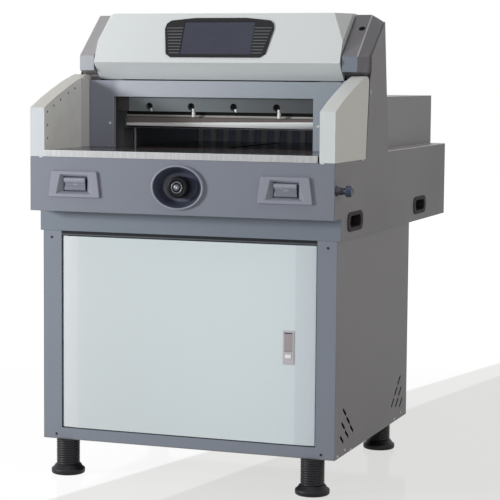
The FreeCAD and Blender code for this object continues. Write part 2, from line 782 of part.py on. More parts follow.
def side_frames():
    """Cast side frames: a long bed rail with a tall cheek, grooved for the knife's slide."""
    groove_y = ("cheek_front - 1", "cheek_front + slide_deep")
    reach = "(slide_long / 2 + 1)"
    path = "knife_drop / cos(knife_lean)"
    for name, sign, at in (("left", "0 - ", "0 - slide_left_at"), ("right", "", "slide_right_at")):
        if sign:
            cheek_x = ("0 - cheek_inner - cheek_thick", "0 - cheek_inner")
            rail_x = ("0 - rail_outer", "0 - rail_outer + rail_thick")
        else:
            cheek_x = ("cheek_inner", "cheek_inner + cheek_thick")
            rail_x = ("rail_outer - rail_thick", "rail_outer")
        cheek = block(cheek_x, ("cheek_front", "cheek_front + cheek_deep"), (pan_top, crown_low))
        rail = block(rail_x, ("rail_front", "rail_rear"), (pan_top, box_top))
        groove = leaning_block(at, f"{table_top} + slide_level",
                               (f"0 - {path} - {reach}", f"{reach} + 4"), "slide_half + face_gap", groove_y)
        tools = [groove]
        if sign:
            tools.append(leaning_rod(at, f"{table_top} + slide_level", (f"0 - {path} - {reach}", "140"),
                                     "knife_screw_radius + 2", "knife_screw_at"))
        node(f"side_frame_{name}", cut(fused([cheek, rail]), tools))


def table():
    """Polished cast table in one plate, notched for the cheeks, slotted for the gauge's stem."""
    front_edge = "0"
    notch = ("cheek_front - face_gap", "cheek_front + cheek_deep + face_gap")
    wide = "table_front_half"
    narrow = "(cheek_inner - face_gap)"
    rear = "table_rear_half"
    right = [(wide, front_edge), (wide, notch[0]), (narrow, notch[0]), (narrow, notch[1]),
             (rear, notch[1]), (rear, "table_rear_end")]
    left = [(f"0 - {x}", y) for x, y in reversed(right)]
    top = padded("XY", (box_top, table_top), right + left)
    slot_half = "(stem_half + 1)"
    pocketed(top, "XY", (box_top, table_top),
             [(f"0 - {slot_half}", "gauge_at - gauge_travel - 3"), (slot_half, "gauge_at - gauge_travel - 3"),
              (slot_half, "gauge_at + 40"), (f"0 - {slot_half}", "gauge_at + 40")])
    stick_half = "(cheek_inner - 2)"
    stick_y = ("knife_back - stick_wide / 2", "knife_back + stick_wide / 2")
    pocketed(top, "XY", (f"{table_top} - stick_high - face_gap", table_top),
             [(f"0 - {stick_half}", f"{stick_y[0]} - face_gap"), (stick_half, f"{stick_y[0]} - face_gap"),
              (stick_half, f"{stick_y[1]} + face_gap"), (f"0 - {stick_half}", f"{stick_y[1]} + face_gap")])
    node("cutting_table", top)
    node("cutting_stick", block(pair(f"{stick_half} - face_gap"), stick_y,
                                (f"{table_top} - stick_high - face_gap", f"{table_top} - face_gap")))
    fence = block(("fence_at", "fence_at + fence_thick"), ("fence_from", "fence_to"),
                  (table_top, f"{table_top} + fence_high"))
    node("side_fences", together([fence, mirrored(fence)]))


def bridge():
    """Cast bridge between the cheeks, with a crown plate that carries the drives."""
    beam = block(pair("cheek_inner"), ("bridge_front", "bridge_front + bridge_deep"),
                 (f"{crown_low} - bridge_high", crown_low))
    crown = block(pair("cheek_inner + cheek_thick"), ("crown_front", "bridge_front + bridge_deep"),
                  (crown_low, crown_top))
    tools = [rod("Z", "clamp_screw_radius + running_gap", (f"{crown_low} - 1", f"{crown_top} + 1"),
                 x=x, y="clamp_front + clamp_deep / 2") for x in ("clamp_screw_at", "0 - clamp_screw_at")]
    tools.append(leaning_rod("0 - slide_left_at", f"{table_top} + slide_level", ("90", "140"),
                             "knife_screw_radius + 2", "knife_screw_at"))
    node("bridge_beam", cut(fused([beam, crown]), tools))


def clamp():
    """Clamp beam on two vertical screws, each turned by its own gear motor."""
    centre = "clamp_front + clamp_deep / 2"
    low = f"({table_top} + clamp_travel)"
    beam = block(pair("cheek_inner - face_gap"), ("clamp_front", "clamp_front + clamp_deep"),
                 (low, f"{low} + clamp_high"))
    bores = [rod("Z", "clamp_screw_radius + running_gap", (f"{low} - 1", f"{low} + clamp_high + 1"), x=x, y=centre)
             for x in ("clamp_screw_at", "0 - clamp_screw_at")]
    node("clamp_beam", cut(beam, bores))
    motors = []
    for side, x in (("left", "0 - clamp_screw_at"), ("right", "clamp_screw_at")):
        node(f"clamp_screw_{side}", rod("Z", "clamp_screw_radius", (f"{low} + 2", f"{crown_top} - face_gap"),
                                        x=x, y=centre))
        motors.append(rod("Z", "clamp_motor_radius", (crown_top, f"{crown_top} + clamp_motor_high"), x=x, y=centre))
    return motors


def knife():
    """Knife on its carrier. Both slide down and to the left along the leaning grooves."""
    blade_front = "knife_back - blade_thick"
    shank_front = "knife_back - shank_thick"
    edge = knife_edge
    points = [("knife_back", edge), (blade_front, f"{edge} + bevel_high"),
              (blade_front, f"{edge} + blade_step - blade_chamfer"), (shank_front, f"{edge} + blade_step"),
              (shank_front, f"{edge} + blade_high"), ("knife_back", f"{edge} + blade_high")]
    node("knife_blade", padded("YZ", ("0 - blade_left", "blade_long - blade_left"), points))

    carrier_y = (f"{shank_front} - carrier_thick", shank_front)
    carrier_z = (f"{table_top} + carrier_low", f"{table_top} + carrier_low + carrier_high")
    plate = block(("0 - carrier_left", "carrier_long - carrier_left"), carrier_y, carrier_z)
    tools = []
    bolts = []
    for index in range(bore_count):
        x = f"{index} * bore_pitch - bore_first"
        level = f"{table_top} + bore_level"
        pin_x = f"{x} + pin_shift"
        pin_y = f"{carrier_y[0]} + pin_radius + 2"
        tools.append(rod("Y", "bore_radius", (f"{carrier_y[0]} - 1", f"{carrier_y[0]} + bore_deep"), x=x, z=level))
        tools.append(rod("Y", "bore_radius / 2 + running_gap", (carrier_y[0], f"{carrier_y[1]} + 1"), x=x, z=level))
        tools.append(block((f"{pin_x} - pin_radius - face_gap", f"{pin_x} + pin_radius + face_gap"),
                           (f"{carrier_y[0]} - 1", f"{pin_y} + pin_radius + face_gap"),
                           (f"{carrier_z[0]} - 1", f"{table_top} + pin_top")))
        head = rod("Y", "bore_radius - 2", (f"{carrier_y[0]} + bore_deep - 4", f"{carrier_y[0]} + bore_deep"),
                   x=x, z=f"{level} + 2")
        shank = rod("Y", "bore_radius / 2", (f"{carrier_y[0]} + bore_deep", carrier_y[1]), x=x, z=level)
        bolts.append(fused([head, shank]))
        long = "long_pin" if index % 2 else "short_pin"
        bolts.append(rod("Z", "pin_radius", (f"{table_top} + pin_top - {long}", f"{table_top} + pin_top"),
                         x=pin_x, y=pin_y))
    node("knife_carrier", cut(plate, tools))

    slides = []
    for at in ("0 - slide_left_at", "slide_right_at"):
        slide = leaning_block(at, f"{table_top} + slide_level", ("0 - slide_long / 2", "slide_long / 2"),
                              "slide_half", (shank_front, "cheek_front + slide_deep - face_gap"))
        if "left" in at:
            slide = cut(slide, [leaning_rod(at, f"{table_top} + slide_level", ("0 - slide_long", "slide_long"),
                                            "knife_screw_radius + running_gap", "knife_screw_at")])
        slides.append(slide)
    node("knife_fittings", together(bolts + slides))

    screw_low = "(0 - knife_drop / cos(knife_lean) - slide_long / 2 + 1)"
    screw = leaning_rod("0 - slide_left_at", f"{table_top} + slide_level", (screw_low, "135"),
                        "knife_screw_radius", "knife_screw_at")
    node("knife_screw", screw)
    gearbox = block(("0 - slide_left_at - 8", "0 - slide_left_at + 60"), ("crown_front + 2", "crown_front + 59"),
                    (crown_top, f"{crown_top} + gearbox_high"))
    seat = leaning_rod("0 - slide_left_at", f"{table_top} + slide_level", ("90", "135.5"),
                       "knife_screw_radius + running_gap", "knife_screw_at")
    motor = rod("Y", "knife_motor_radius", ("crown_front + 58", "crown_front + 59 + knife_motor_long"),
                x="0 - slide_left_at + 26", z=f"{crown_top} + knife_motor_radius + 3")
    return fused([cut(gearbox, [seat]), motor])


def fascia():
    """Front cover of the upright: a folded sheet round the cutting opening."""
    low = f"({table_top} + face_gap)"
    top = f"({table_top} + fascia_top)"
    head = f"({table_top} + opening_high)"
    y = ("fascia_at", "fascia_at + body_sheet")
    right = [("fascia_half", top), ("fascia_half", low), ("throat_half", low), ("throat_half", head)]
    left = [(f"0 - {x}", z) for x, z in reversed(right)]
    sheet_face = padded("XZ", y, right + left)
    lip_y = ("fascia_at", "fascia_at + body_sheet + fascia_lip")
    lips = [block(pair("throat_half"), lip_y, (head, f"{head} + body_sheet"))]
    for sign in ("", "0 - "):
        near = f"{sign}throat_half" if not sign else "0 - throat_half - body_sheet"
        lips.append(block((near, f"{near} + body_sheet"), lip_y, (low, f"{head} + body_sheet")))
        far = "fascia_half - body_sheet" if not sign else "0 - fascia_half"
        lips.append(block((far, f"{far} + body_sheet"), ("fascia_at", "column_at"), (low, top)))
    lips.append(block(pair("fascia_half"), ("fascia_at", "cheek_front - face_gap"), (f"{top} - body_sheet", top)))
    node("front_fascia", fused([sheet_face] + lips))


def shoulders():
    """Dark shoulder shells on each side of the hood, with a chamfered outer edge and a column below."""
    outer_x = f"({inner_side})"

    def form(profile, side_profile, near, edge, far):
        """A straight part from near to edge, then a chamfer to the second profile at far."""
        straight = padded("YZ", (near, edge), profile)
        chamfer = place(doc.addObject("PartDesign::Body", "Chamfer"))
        loft = chamfer.newObject("PartDesign::AdditiveLoft", "Loft")
        loft.Profile = drawn(chamfer, "YZ", edge, profile)
        loft.Sections = [drawn(chamfer, "YZ", far, side_profile)]
        loft.Ruled = True
        return fused([straight, chamfer])

    def outside(shift):
        top = ("shoulder_top_at", f"{table_top} + shoulder_top")
        if shift:
            top = ("shoulder_rear - 1", f"{table_top} + shoulder_rear_top + 0.4")
        front = f"shoulder_front + {shift}"
        return [(f"column_at + 9 + {shift} / 5", f"{table_top} + shoulder_under"),
                (front, f"{table_top} + shoulder_low"), (front, f"{table_top} + shoulder_bend"), top,
                ("shoulder_rear", f"{table_top} + shoulder_rear_top"),
                ("shoulder_rear", f"{table_top} + shoulder_under")]

    def inside(shift):
        wall = "shoulder_wall"
        top = ("shoulder_top_at", f"{table_top} + shoulder_top - {wall} * 1.2")
        if shift:
            top = ("shoulder_rear - 2", f"{table_top} + shoulder_rear_top - {wall}")
        front = f"shoulder_front + {shift} + {wall}"
        return [(f"column_at + 10 + {shift} / 5", f"{table_top} + shoulder_under - 1"),
                (f"column_at + 10 + {shift} / 5", f"{table_top} + shoulder_under + {wall}"),
                (front, f"{table_top} + shoulder_low + {wall}"),
                (front, f"{table_top} + shoulder_bend - {wall} * 0.6"), top,
                ("shoulder_rear + 1", f"{table_top} + shoulder_rear_top - {wall} * 1.3"),
                ("shoulder_rear + 1", f"{table_top} + shoulder_under - 1")]

    skin = form(outside(0), outside("shoulder_chamfer"), "shoulder_inner", "shoulder_edge", outer_x)
    hollow = form(inside(0), inside("shoulder_chamfer"), "shoulder_inner + shoulder_wall",
                  "shoulder_edge - shoulder_wall", f"{outer_x} - shoulder_wall")
    shell = cut(skin, [hollow])
    column = block(("shoulder_inner", f"{inner_side} - face_gap"), ("column_at", "column_at + body_sheet"),
                   (box_top, f"{table_top} + shoulder_under + 2"))
    key_slope = "atan((shoulder_top - shoulder_bend) / (shoulder_top_at - shoulder_front))"
    key_level = (f"{table_top} + shoulder_bend + (key_at - shoulder_front) * (shoulder_top - shoulder_bend)"
                 " / (shoulder_top_at - shoulder_front)")
    depth = "key_long"

    def barrel(radius, low, high):
        return turned([("0", low), (radius, low), (radius, high), ("0", high)], x="key_side", y="key_at",
                      z=key_level, tilt=key_slope)

    left = fused([shell, column])
    node("shoulder_left", mirrored(left))
    node("shoulder_right", cut(fused([shell, column]),
                               [barrel("key_radius + running_gap", f"0 - {depth}", "5")]))
    lock = barrel("key_radius", f"0 - {depth} + 1", "0 - 1.5")
    slot = block(("key_side - 0.8", "key_side + 0.8"), ("key_at - 4", "key_at + 4"),
                 (f"{key_level} - 8", f"{key_level} + 8"))
    node("key_lock", cut(lock, [slot]))


def upper_back():
    """Leaning rear panel between the side sheets, cut out over the rear cover."""
    low = f"({side_top} + face_gap)"
    top = f"({table_top} + shoulder_rear_top - 2)"

    def lean_at(level):
        return f"(back_at - back_lean * ({level} - {side_top}))"

    points = [(f"{lean_at(low)} - body_sheet", low), (lean_at(low), low), (lean_at(top), top),
              (f"{lean_at(top)} - body_sheet", top)]
    panel = padded("YZ", pair(f"{inner_side} - face_gap"), points)
    gap = block(pair("rear_cover_half + face_gap"), ("back_at - 60", "back_at + 10"),
                (f"{low} - 5", f"{rear_cover_top} + face_gap"))
    node("upper_back", cut(panel, [gap]))


def corner_tool(shift):
    """The block that slices one front top corner off the hood, moved inwards by shift."""
    value = {name: float(sheet.get(name)) for name in driving_sizes}
    side = value["body_wide"] / 2 - value["hood_in"]
    depth = value["apron_step"] + (value["foot_inset"] + value["cabinet_deep"] - value["foot_back"]) / 2
    level = sum(value[name] for name in ("foot_high", "cabinet_high", "tier_high", "box_high", "table_thick"))
    top = level + value["hood_top"]
    front = value["hood_top_at"] - depth
    slope = (value["hood_top_at"] - value["hood_crease_at"]) / (value["hood_top"] - value["hood_crease"])
    on_top = FreeCAD.Vector(side - value["hood_corner_in"], front, top)
    on_front = FreeCAD.Vector(side, front - slope * value["hood_corner_down"], top - value["hood_corner_down"])
    on_side = FreeCAD.Vector(side, front + value["hood_corner_back"], top)
    centre = (on_top + on_front + on_side) / 3
    normal = (on_front - on_top).cross(on_side - on_top).normalize()
    if normal.x < 0:
        normal = -normal
    corners = [centre + (point - centre) * 4 - normal * shift for point in (on_top, on_front, on_side)]
    face = Part.Face(Part.makePolygon(corners + [corners[0]]))
    item = doc.addObject("Part::Feature", "HoodCorner")
    item.Shape = face.extrude(normal * 120)
    return item


def hood():
    """Hinged hood of folded sheet: a tucked-in lip, a sloping face, a flat top and closed ends."""
    def at(y, z):
        return (y, f"{table_top} + {z}")

    outside = [at("hood_lip_at", "hood_lip"), at("hood_crease_at", "hood_crease"), at("hood_top_at", "hood_top"),
               at("hood_bend_at", "hood_top"), at("hood_rear_at", "hood_rear_top")]
    lip_dy = "(hood_lip_at - hood_crease_at)"
    lip_dz = "(hood_crease - hood_lip)"
    inner_crease = ("hood_crease_at + hood_sheet * 1.25", f"{table_top} + hood_crease + hood_sheet * 0.1")
    inside = [("hood_lip_at + hood_sheet * 1.34 + 0.5 * " + lip_dy, f"{table_top} + hood_lip - 0.5 * " + lip_dz),
              inner_crease, ("hood_top_at + hood_sheet * 0.64", f"{table_top} + hood_top - hood_sheet"),
              ("hood_bend_at - hood_sheet * 0.27", f"{table_top} + hood_top - hood_sheet"),
              ("hood_rear_at + 24", f"{table_top} + hood_rear_top - 14.5"),
              ("hood_rear_at + 24", f"{table_top} + hood_lip - 0.5 * " + lip_dz)]
    shell = padded("YZ", pair("hood_half"), outside)
    hollow = padded("YZ", pair("hood_half - hood_sheet"), inside)
    outer_corner = corner_tool(0)
    inner_corner = corner_tool(3)
    outer = cut(shell, [outer_corner, mirrored(outer_corner)])
    inner = cut(hollow, [inner_corner, mirrored(inner_corner)])

    def on_slope(item):
        item.Placement = FreeCAD.Placement(FreeCAD.Vector(), FreeCAD.Rotation(FreeCAD.Vector(1, 0, 0), -10))
        item.setExpression("Placement.Rotation.Angle", bind(hood_slope))
        return place(item, "0", "hood_crease_at", f"{table_top} + hood_crease")

    def screen_block(half_wide, low, high, y):
        points = [(f"0 - ({half_wide})", low), (half_wide, low), (half_wide, high), (f"0 - ({half_wide})", high)]
        return on_slope(padded("XZ", y, points))

    screen_top = "screen_low + screen_high"
    window = screen_block("screen_half + 3 + face_gap", "screen_low - 3 - face_gap", f"{screen_top} + 3 + face_gap",
                          ("0 - 6", "hood_sheet + 4"))
    knuckles = []
    for side in ("0 - hinge_side", "hinge_side"):
        x = (f"{side} + face_gap", f"{side} + hinge_long")
        barrel = rod("X", "hinge_barrel_radius", x, y="hinge_at", z=f"{table_top} + hinge_level")
        ear = block(x, ("hood_rear_at - 12", "hinge_at"),
                    (f"{table_top} + hood_rear_top - 2.5", f"{table_top} + hood_rear_top + 1.5"))
        bore = rod("X", "hinge_pin_radius + running_gap", (f"{side} - 1", f"{side} + hinge_long + 1"),
                   y="hinge_at", z=f"{table_top} + hinge_level")
        knuckles.append(cut(fused([barrel, ear]), [bore]))
    node("hood", fused([cut(outer, [inner, window])] + knuckles))

    leaves = []
    for side in ("0 - hinge_side", "hinge_side"):
        x = (f"{side} - hinge_long", side)
        barrel = rod("X", "hinge_barrel_radius", x, y="hinge_at", z=f"{table_top} + hinge_level")
        pin = rod("X", "hinge_pin_radius", (f"{side} - hinge_long", f"{side} + hinge_long"), y="hinge_at",
                  z=f"{table_top} + hinge_level")
        foot = block(x, ("hinge_at - 1.5", "hinge_at + 2.5"),
                     (f"{table_top} + shoulder_rear_top - 2", f"{table_top} + hinge_level"))
        leaves.append(fused([barrel, pin, foot]))
    node("hinge_leaves", together(leaves))

    right = [("128", "14"), ("141", "24"), ("147.5", "94"), ("143", "109"), ("131", "118"), ("70", "125")]
    left = [(f"0 - {x}", z) for x, z in reversed(right)]
    panel = on_slope(padded("XZ", ("0 - panel_thick", "0"), right + left))
    pane = screen_block("screen_half + face_gap", "screen_low - face_gap", f"{screen_top} + face_gap",
                        ("0 - panel_thick - 1", "1"))
    node("screen_bezel", cut(panel, [pane]))
    glass = screen_block("screen_half", "screen_low", screen_top, ("1 - panel_thick", "0"))
    module = screen_block("screen_half + 3", "screen_low - 3", f"{screen_top} + 3", ("0", "screen_deep"))
    node("touch_screen", fused([glass, module]))


def guards():
    """White side guards of folded sheet with light-curtain strips on their inner faces."""
    def shape(inset):
        return [(f"1 + {inset}", f"{box_top} + face_gap + {inset}"), (f"1 + {inset}", f"{box_top} + 122 - {inset}"),
                ("60", f"{box_top} + 146 - {inset}"), ("125", f"{box_top} + 168.5 - {inset}"),
                ("190", f"{box_top} + 189 - {inset}"), ("258", f"{box_top} + 206 - {inset}"),
                (f"272 - {inset} / 2", f"{box_top} + 206 - {inset}"), (f"284 - {inset}", f"{box_top} + 194 - {inset}"),
                (f"262 - {inset}", f"{box_top} + face_gap + {inset}")]

    inner = f"({half} - guard_thick)"
    shell = padded("YZ", (inner, half), shape("0"))
    hollow = padded("YZ", (f"{inner} - 1", f"{half} - guard_sheet"), shape("guard_sheet"))
    guard = node("guard_right", cut(shell, [hollow]))
    node("guard_left", mirrored(guard))
    strip = padded("YZ", (f"{inner}", f"{inner} + 1.5"), shape("(guard_sheet + 0.2)"))
    node("light_curtains", together([strip, mirrored(strip)]))


def gauge():
    """Back gauge on a carriage under the table, driven by a lead screw with a front hand wheel."""
    bottom = f"({table_top} + face_gap)"
    top = f"({bottom} + gauge_high)"
    face = "(gauge_at + gauge_rib_deep)"
    plate = padded("XZ", (face, f"{face} + gauge_thick"),
                   [("0 - gauge_half", bottom), ("gauge_half", bottom), ("gauge_half", top), ("0 - gauge_half", top)])
    rib = plate.newObject("PartDesign::Pad", "Rib")
    rib.Profile = drawn(plate, "XZ", f"0 - {face}",
                        [("0 - gauge_half", bottom), ("gauge_rib - gauge_half", bottom),
                         ("gauge_rib - gauge_half", top), ("0 - gauge_half", top)])
    rib.setExpression("Length", bind("gauge_rib_deep"))
    comb = plate.newObject("PartDesign::LinearPattern", "Comb")
    comb.Originals = [rib]
    comb.Direction = (rib.Profile[0], ["H_Axis"])
    comb.setExpression("Length", bind("2 * gauge_half - gauge_rib"))
    comb.Occurrences = gauge_rib_count
    plate.Tip = comb
    node("backgauge", plate)

    level = ("screw_level - carriage_high / 2", "screw_level + carriage_high / 2")
    y = ("gauge_at - 2", "gauge_at - 2 + carriage_long")
    saddle = block(pair("support_half"), y, level)
    stem = block(pair("stem_half"), (f"gauge_at", f"{face} + gauge_thick"), ("screw_level", bottom))
    bores = [rod("Y", "screw_radius + running_gap", (f"{y[0]} - 1", f"{y[1]} + 1"), z="screw_level")]
    for x in ("guide_side", "0 - guide_side"):
        bores.append(rod("Y", "guide_radius + running_gap", (f"{y[0]} - 1", f"{y[1]} + 1"), x=x, z="screw_level"))
    node("gauge_carriage", cut(fused([saddle, stem]), bores))

    guides = []
    for at in ("support_front", "support_rear"):
        stand = block(pair("support_half"), (at, f"{at} + support_thick"), (pan_top, "support_top"))
        hole = rod("Y", "screw_radius + running_gap", (f"{at} - 1", f"{at} + support_thick + 1"), z="screw_level")
        guides.append(cut(stand, [hole]))
    for x in ("guide_side", "0 - guide_side"):
        guides.append(rod("Y", "guide_radius", ("support_front + support_thick", "support_rear"), x=x,
                          z="screw_level"))
    node("gauge_guides", together(guides))

    wheel_front = "(wheel_set_in - dial_proud)"
    wheel_back = f"({wheel_front} + wheel_long)"
    node("leadscrew", turned([("0", f"{wheel_back} - journal_long"), ("journal_radius", f"{wheel_back} - journal_long"),
                              ("journal_radius", "dial_deep + 20"), ("screw_radius", "dial_deep + 20"),
                              ("screw_radius", "screw_rear"), ("0", "screw_rear")], along="Y", z="screw_level"))
    node("hand_wheel", turned([("0", wheel_front), ("wheel_radius - 2", wheel_front),
                               ("wheel_radius", f"{wheel_front} + 2"), ("wheel_radius", f"{wheel_back} - 2"),
                               ("wheel_radius - 2", wheel_back), ("journal_radius", wheel_back),
                               ("journal_radius", f"{wheel_back} - journal_long"),
                               ("0", f"{wheel_back} - journal_long")], along="Y", z="screw_level"))
    node("wheel_cap", turned([("0", f"{wheel_front} - cap_thick"), ("cap_radius - 3", f"{wheel_front} - cap_thick"),
                              ("cap_radius", f"{wheel_front} - 1"), ("cap_radius", wheel_front),
                              ("0", wheel_front)], along="Y", z="screw_level"))
    body = f"gauge_motor_half"
    node("gauge_motor", block(pair(body), ("support_rear + support_thick", "support_rear + support_thick"
                                           " + gauge_motor_long"),
                              (f"screw_level - {body}", f"screw_level + {body}")))


def dial_bowl():
    """Oval bowl round the hand wheel, with a raised rim."""
    rim = oval("dial_half_wide", "dial_half_high", ("0 - dial_proud", "0"), "screw_level")
    tub = oval("dial_half_wide - 3.5", "dial_half_high - 3.5", ("0", "dial_deep + dial_wall"), "screw_level")
    recess = oval("dial_half_wide - dial_rim", "dial_half_high - dial_rim", ("0 - dial_proud - 1", "dial_deep"),
                  "screw_level")
    hole = rod("Y", "journal_radius + running_gap", ("dial_deep - 1", "dial_deep + dial_wall + 1"), z="screw_level")
    node("dial_bowl", cut(fused([rim, tub]), [recess, hole]))


def cut_buttons():
    """Two-hand cut buttons: each a square paddle in a deep bezel that widens downwards."""
    bezels = []
    for name, side in (("left", "0 - button_side"), ("right", "button_side")):
        def trapezium(top, low, high, y):
            points = [(f"{side} - {low}", f"button_level - {high}"), (f"{side} + {low}", f"button_level - {high}"),
                      (f"{side} + {top}", f"button_level + {high}"), (f"{side} - {top}", f"button_level + {high}")]
            return padded("XZ", y, points)

        rim = trapezium("bezel_top_half", "bezel_low_half", "bezel_half_high", ("0 - bezel_proud", "0"))
        case = block((f"{side} - bezel_top_half + 2", f"{side} + bezel_top_half - 2"), ("0", "bezel_body_deep"),
                     ("button_level - bezel_half_high + 4", "button_level + bezel_half_high - 4"))
        recess = trapezium("recess_top_half", "recess_low_half", "recess_half_high",
                           ("0 - bezel_proud - 1", "recess_deep - bezel_proud - 2"))
        hole = rod("Y", "button_stem_radius + running_gap", ("0", "bezel_body_deep + 1"), x=side, z="button_level")
        bezels.append(cut(fused([rim, case]), [recess, hole]))
        front = "paddle_set_in - bezel_proud"
        paddle = block((f"{side} - paddle_half", f"{side} + paddle_half"), (front, f"{front} + paddle_thick - 3"),
                       ("button_level - paddle_half_high", "button_level + paddle_half_high"))
        stem = rod("Y", "button_stem_radius", (front, f"{front} + button_stem_long + 6"), x=side, z="button_level")
        node(f"cut_button_{name}", fused([paddle, stem]))
    node("button_bezels", together(bezels))


def side_knob():
    """Turning knob on the right side of the control box."""
    node("side_knob", turned([("0", "0 - 16"), ("knob_spindle_radius", "0 - 16"), ("knob_spindle_radius", "face_gap"),
                              ("knob_ring_radius", "face_gap"), ("knob_ring_radius", "5"), ("knob_neck_radius", "5"),
                              ("knob_neck_radius", "24"), ("knob_cap_radius", "24"), ("knob_cap_radius", "37.5"),
                              ("knob_cap_radius - 1.5", "39"), ("0", "39")], along="X", x=half, y="knob_at",
                             z="knob_level"))


def electrics():
    """Power inlet in the back and the control gear inside the stand."""
    y = "body_deep - body_sheet"
    body = block(("inlet_side", "inlet_side + inlet_wide"), (f"{y} - 22", "body_deep"),
                 ("inlet_level", "inlet_level + inlet_high"))
    lip = block(("inlet_side - 3", "inlet_side + inlet_wide + 3"), ("body_deep", "body_deep + 2"),
                ("inlet_level - 3", "inlet_level + inlet_high + 3"))
    well = block(("inlet_side + 6", "inlet_side + inlet_wide - 6"), ("body_deep - 14", "body_deep + 3"),
                 ("inlet_level + 5", "inlet_level + inlet_high - 5"))
    blades = [block((f"inlet_side + inlet_wide / 2 + {dx} - 2", f"inlet_side + inlet_wide / 2 + {dx} + 2"),
                    ("body_deep - 15", "body_deep - 3"),
                    (f"inlet_level + inlet_high / 2 + {dz} - 1", f"inlet_level + inlet_high / 2 + {dz} + 1"))
              for dx, dz in ((-10, -2), (0, 2), (10, -2))]
    node("power_inlet", fused([cut(fused([body, lip]), [well])] + blades))
    back = f"{cabinet_rear} - cabinet_sheet"
    case = block(pair("box_half"), (f"{back} - box_deep", back), ("box_low", "box_low + box_tall"))
    hollow = block(pair("box_half - box_wall"), (f"{back} - box_deep + box_wall", f"{back} + 1"),
                   ("box_low + box_wall", "box_low + box_tall - box_wall"))
    node("control_box", cut(case, [hollow]))


for build in (levelling_feet, cabinet, pull_handle, body_casing, grips, side_frames, table, bridge, fascia,
              shoulders, upper_back, hood, guards, gauge, dial_bowl, cut_buttons, side_knob, electrics):
    build()
node("drive_motors", together(clamp() + [knife()]))
doc.recompute()

for item in doc.Objects:
    assert not {"Invalid", "Error"} & set(item.State), f"{item.Name} ({item.Label}) is not valid"
for label, item in nodes.items():
    assert not item.Shape.isNull() and item.Shape.isValid(), f"{label} has no valid shape"
    assert item.Shape.Solids, f"{label} holds no solid"
assert len(nodes) <= 60, sorted(nodes)
for label, item in nodes.items():
    item.Shape.exportStep(f"parts/{label}.step")
print(len(nodes), "nodes")
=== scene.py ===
import json
import math

import bmesh
import bpy
from mathutils import Matrix, Vector


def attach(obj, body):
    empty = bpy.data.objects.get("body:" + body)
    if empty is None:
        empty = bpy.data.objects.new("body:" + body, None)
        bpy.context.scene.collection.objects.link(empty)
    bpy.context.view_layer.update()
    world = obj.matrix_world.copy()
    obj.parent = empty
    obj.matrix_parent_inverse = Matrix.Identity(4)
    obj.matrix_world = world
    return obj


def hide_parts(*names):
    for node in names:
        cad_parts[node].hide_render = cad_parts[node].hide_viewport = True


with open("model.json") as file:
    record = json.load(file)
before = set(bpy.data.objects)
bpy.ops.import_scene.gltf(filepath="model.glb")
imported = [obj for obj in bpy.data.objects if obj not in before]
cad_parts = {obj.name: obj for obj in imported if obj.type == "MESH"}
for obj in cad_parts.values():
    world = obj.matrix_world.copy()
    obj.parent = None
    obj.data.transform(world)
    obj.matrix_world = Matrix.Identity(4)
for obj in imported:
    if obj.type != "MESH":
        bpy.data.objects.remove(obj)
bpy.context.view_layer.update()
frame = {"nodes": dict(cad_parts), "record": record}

# Floor-standing paper cutter. Lengths are millimetres, with y counted from the face of the control
# box, as in the CAD source, and spot() turns them into scene metres. The steps and the rim in the
# finishes and everything about the studio are scene metres.
depthShift = 374.0


def spot(x, y, z):
    return Vector((x, y - depthShift, z)) / 1000


def vec(x, y, z):
    return Vector((x, y, z)) / 1000


def tint(*colour):  # a colour as a screen shows it, 0-255, made linear
    return tuple(((value / 255 + 0.055) / 1.055) ** 2.4 if value > 10 else value / 255 / 12.92
                 for value in colour)


def shade(colour, factor):
    return tuple(min(1.0, value * factor) for value in colour)


# shader maths
class Signal:  # one socket, with the arithmetic that the finishes use
    def __init__(self, sheet, socket):
        self.sheet, self.socket = sheet, socket

    def math(self, operation, other, swap=False):
        pair = (other, self) if swap else (self, other)
        return self.sheet.add("Math", {"operation": operation}, dict(enumerate(pair)))

    def __add__(self, other):
        return self.math("ADD", other)

    def __radd__(self, other):
        return self.math("ADD", other, swap=True)

    def __sub__(self, other):
        return self.math("SUBTRACT", other)

    def __rsub__(self, other):
        return self.math("SUBTRACT", other, swap=True)

    def __mul__(self, other):
        return self.math("MULTIPLY", other)

    def __rmul__(self, other):
        return self.math("MULTIPLY", other, swap=True)

    def above(self, edge, soft):  # 0 below the edge, 1 above it, over a soft width
        return self.sheet.add("MapRange", {"interpolation_type": "SMOOTHSTEP", "clamp": True},
                              {0: self, 1: edge - soft / 2, 2: edge + soft / 2, 3: 0.0, 4: 1.0})


class Sheet:  # a node tree, and the one way its nodes are made
    def __init__(self, owner):
        owner.use_nodes = True
        self.tree = owner.node_tree
        self.tree.nodes.clear()

    def feed(self, socket, value):
        if isinstance(value, Signal):
            self.tree.links.new(value.socket, socket)
        else:
            socket.default_value = value

    def add(self, kind, settings=None, sockets=None, output=0):
        node = self.tree.nodes.new("ShaderNode" + kind)
        for name, value in (settings or {}).items():
            setattr(node, name, value)
        for name, value in (sockets or {}).items():
            self.feed(node.inputs[name], value)
        return Signal(self, node.outputs[output]) if node.outputs else node

    def backdropRays(self):  # 1 for rays that show the background as the camera does
        seen, glossy, passed = (self.add("LightPath", output=f"Is {kind} Ray")
                                for kind in ("Camera", "Glossy", "Transmission"))
        return seen.math("MAXIMUM", glossy).math("MAXIMUM", passed)


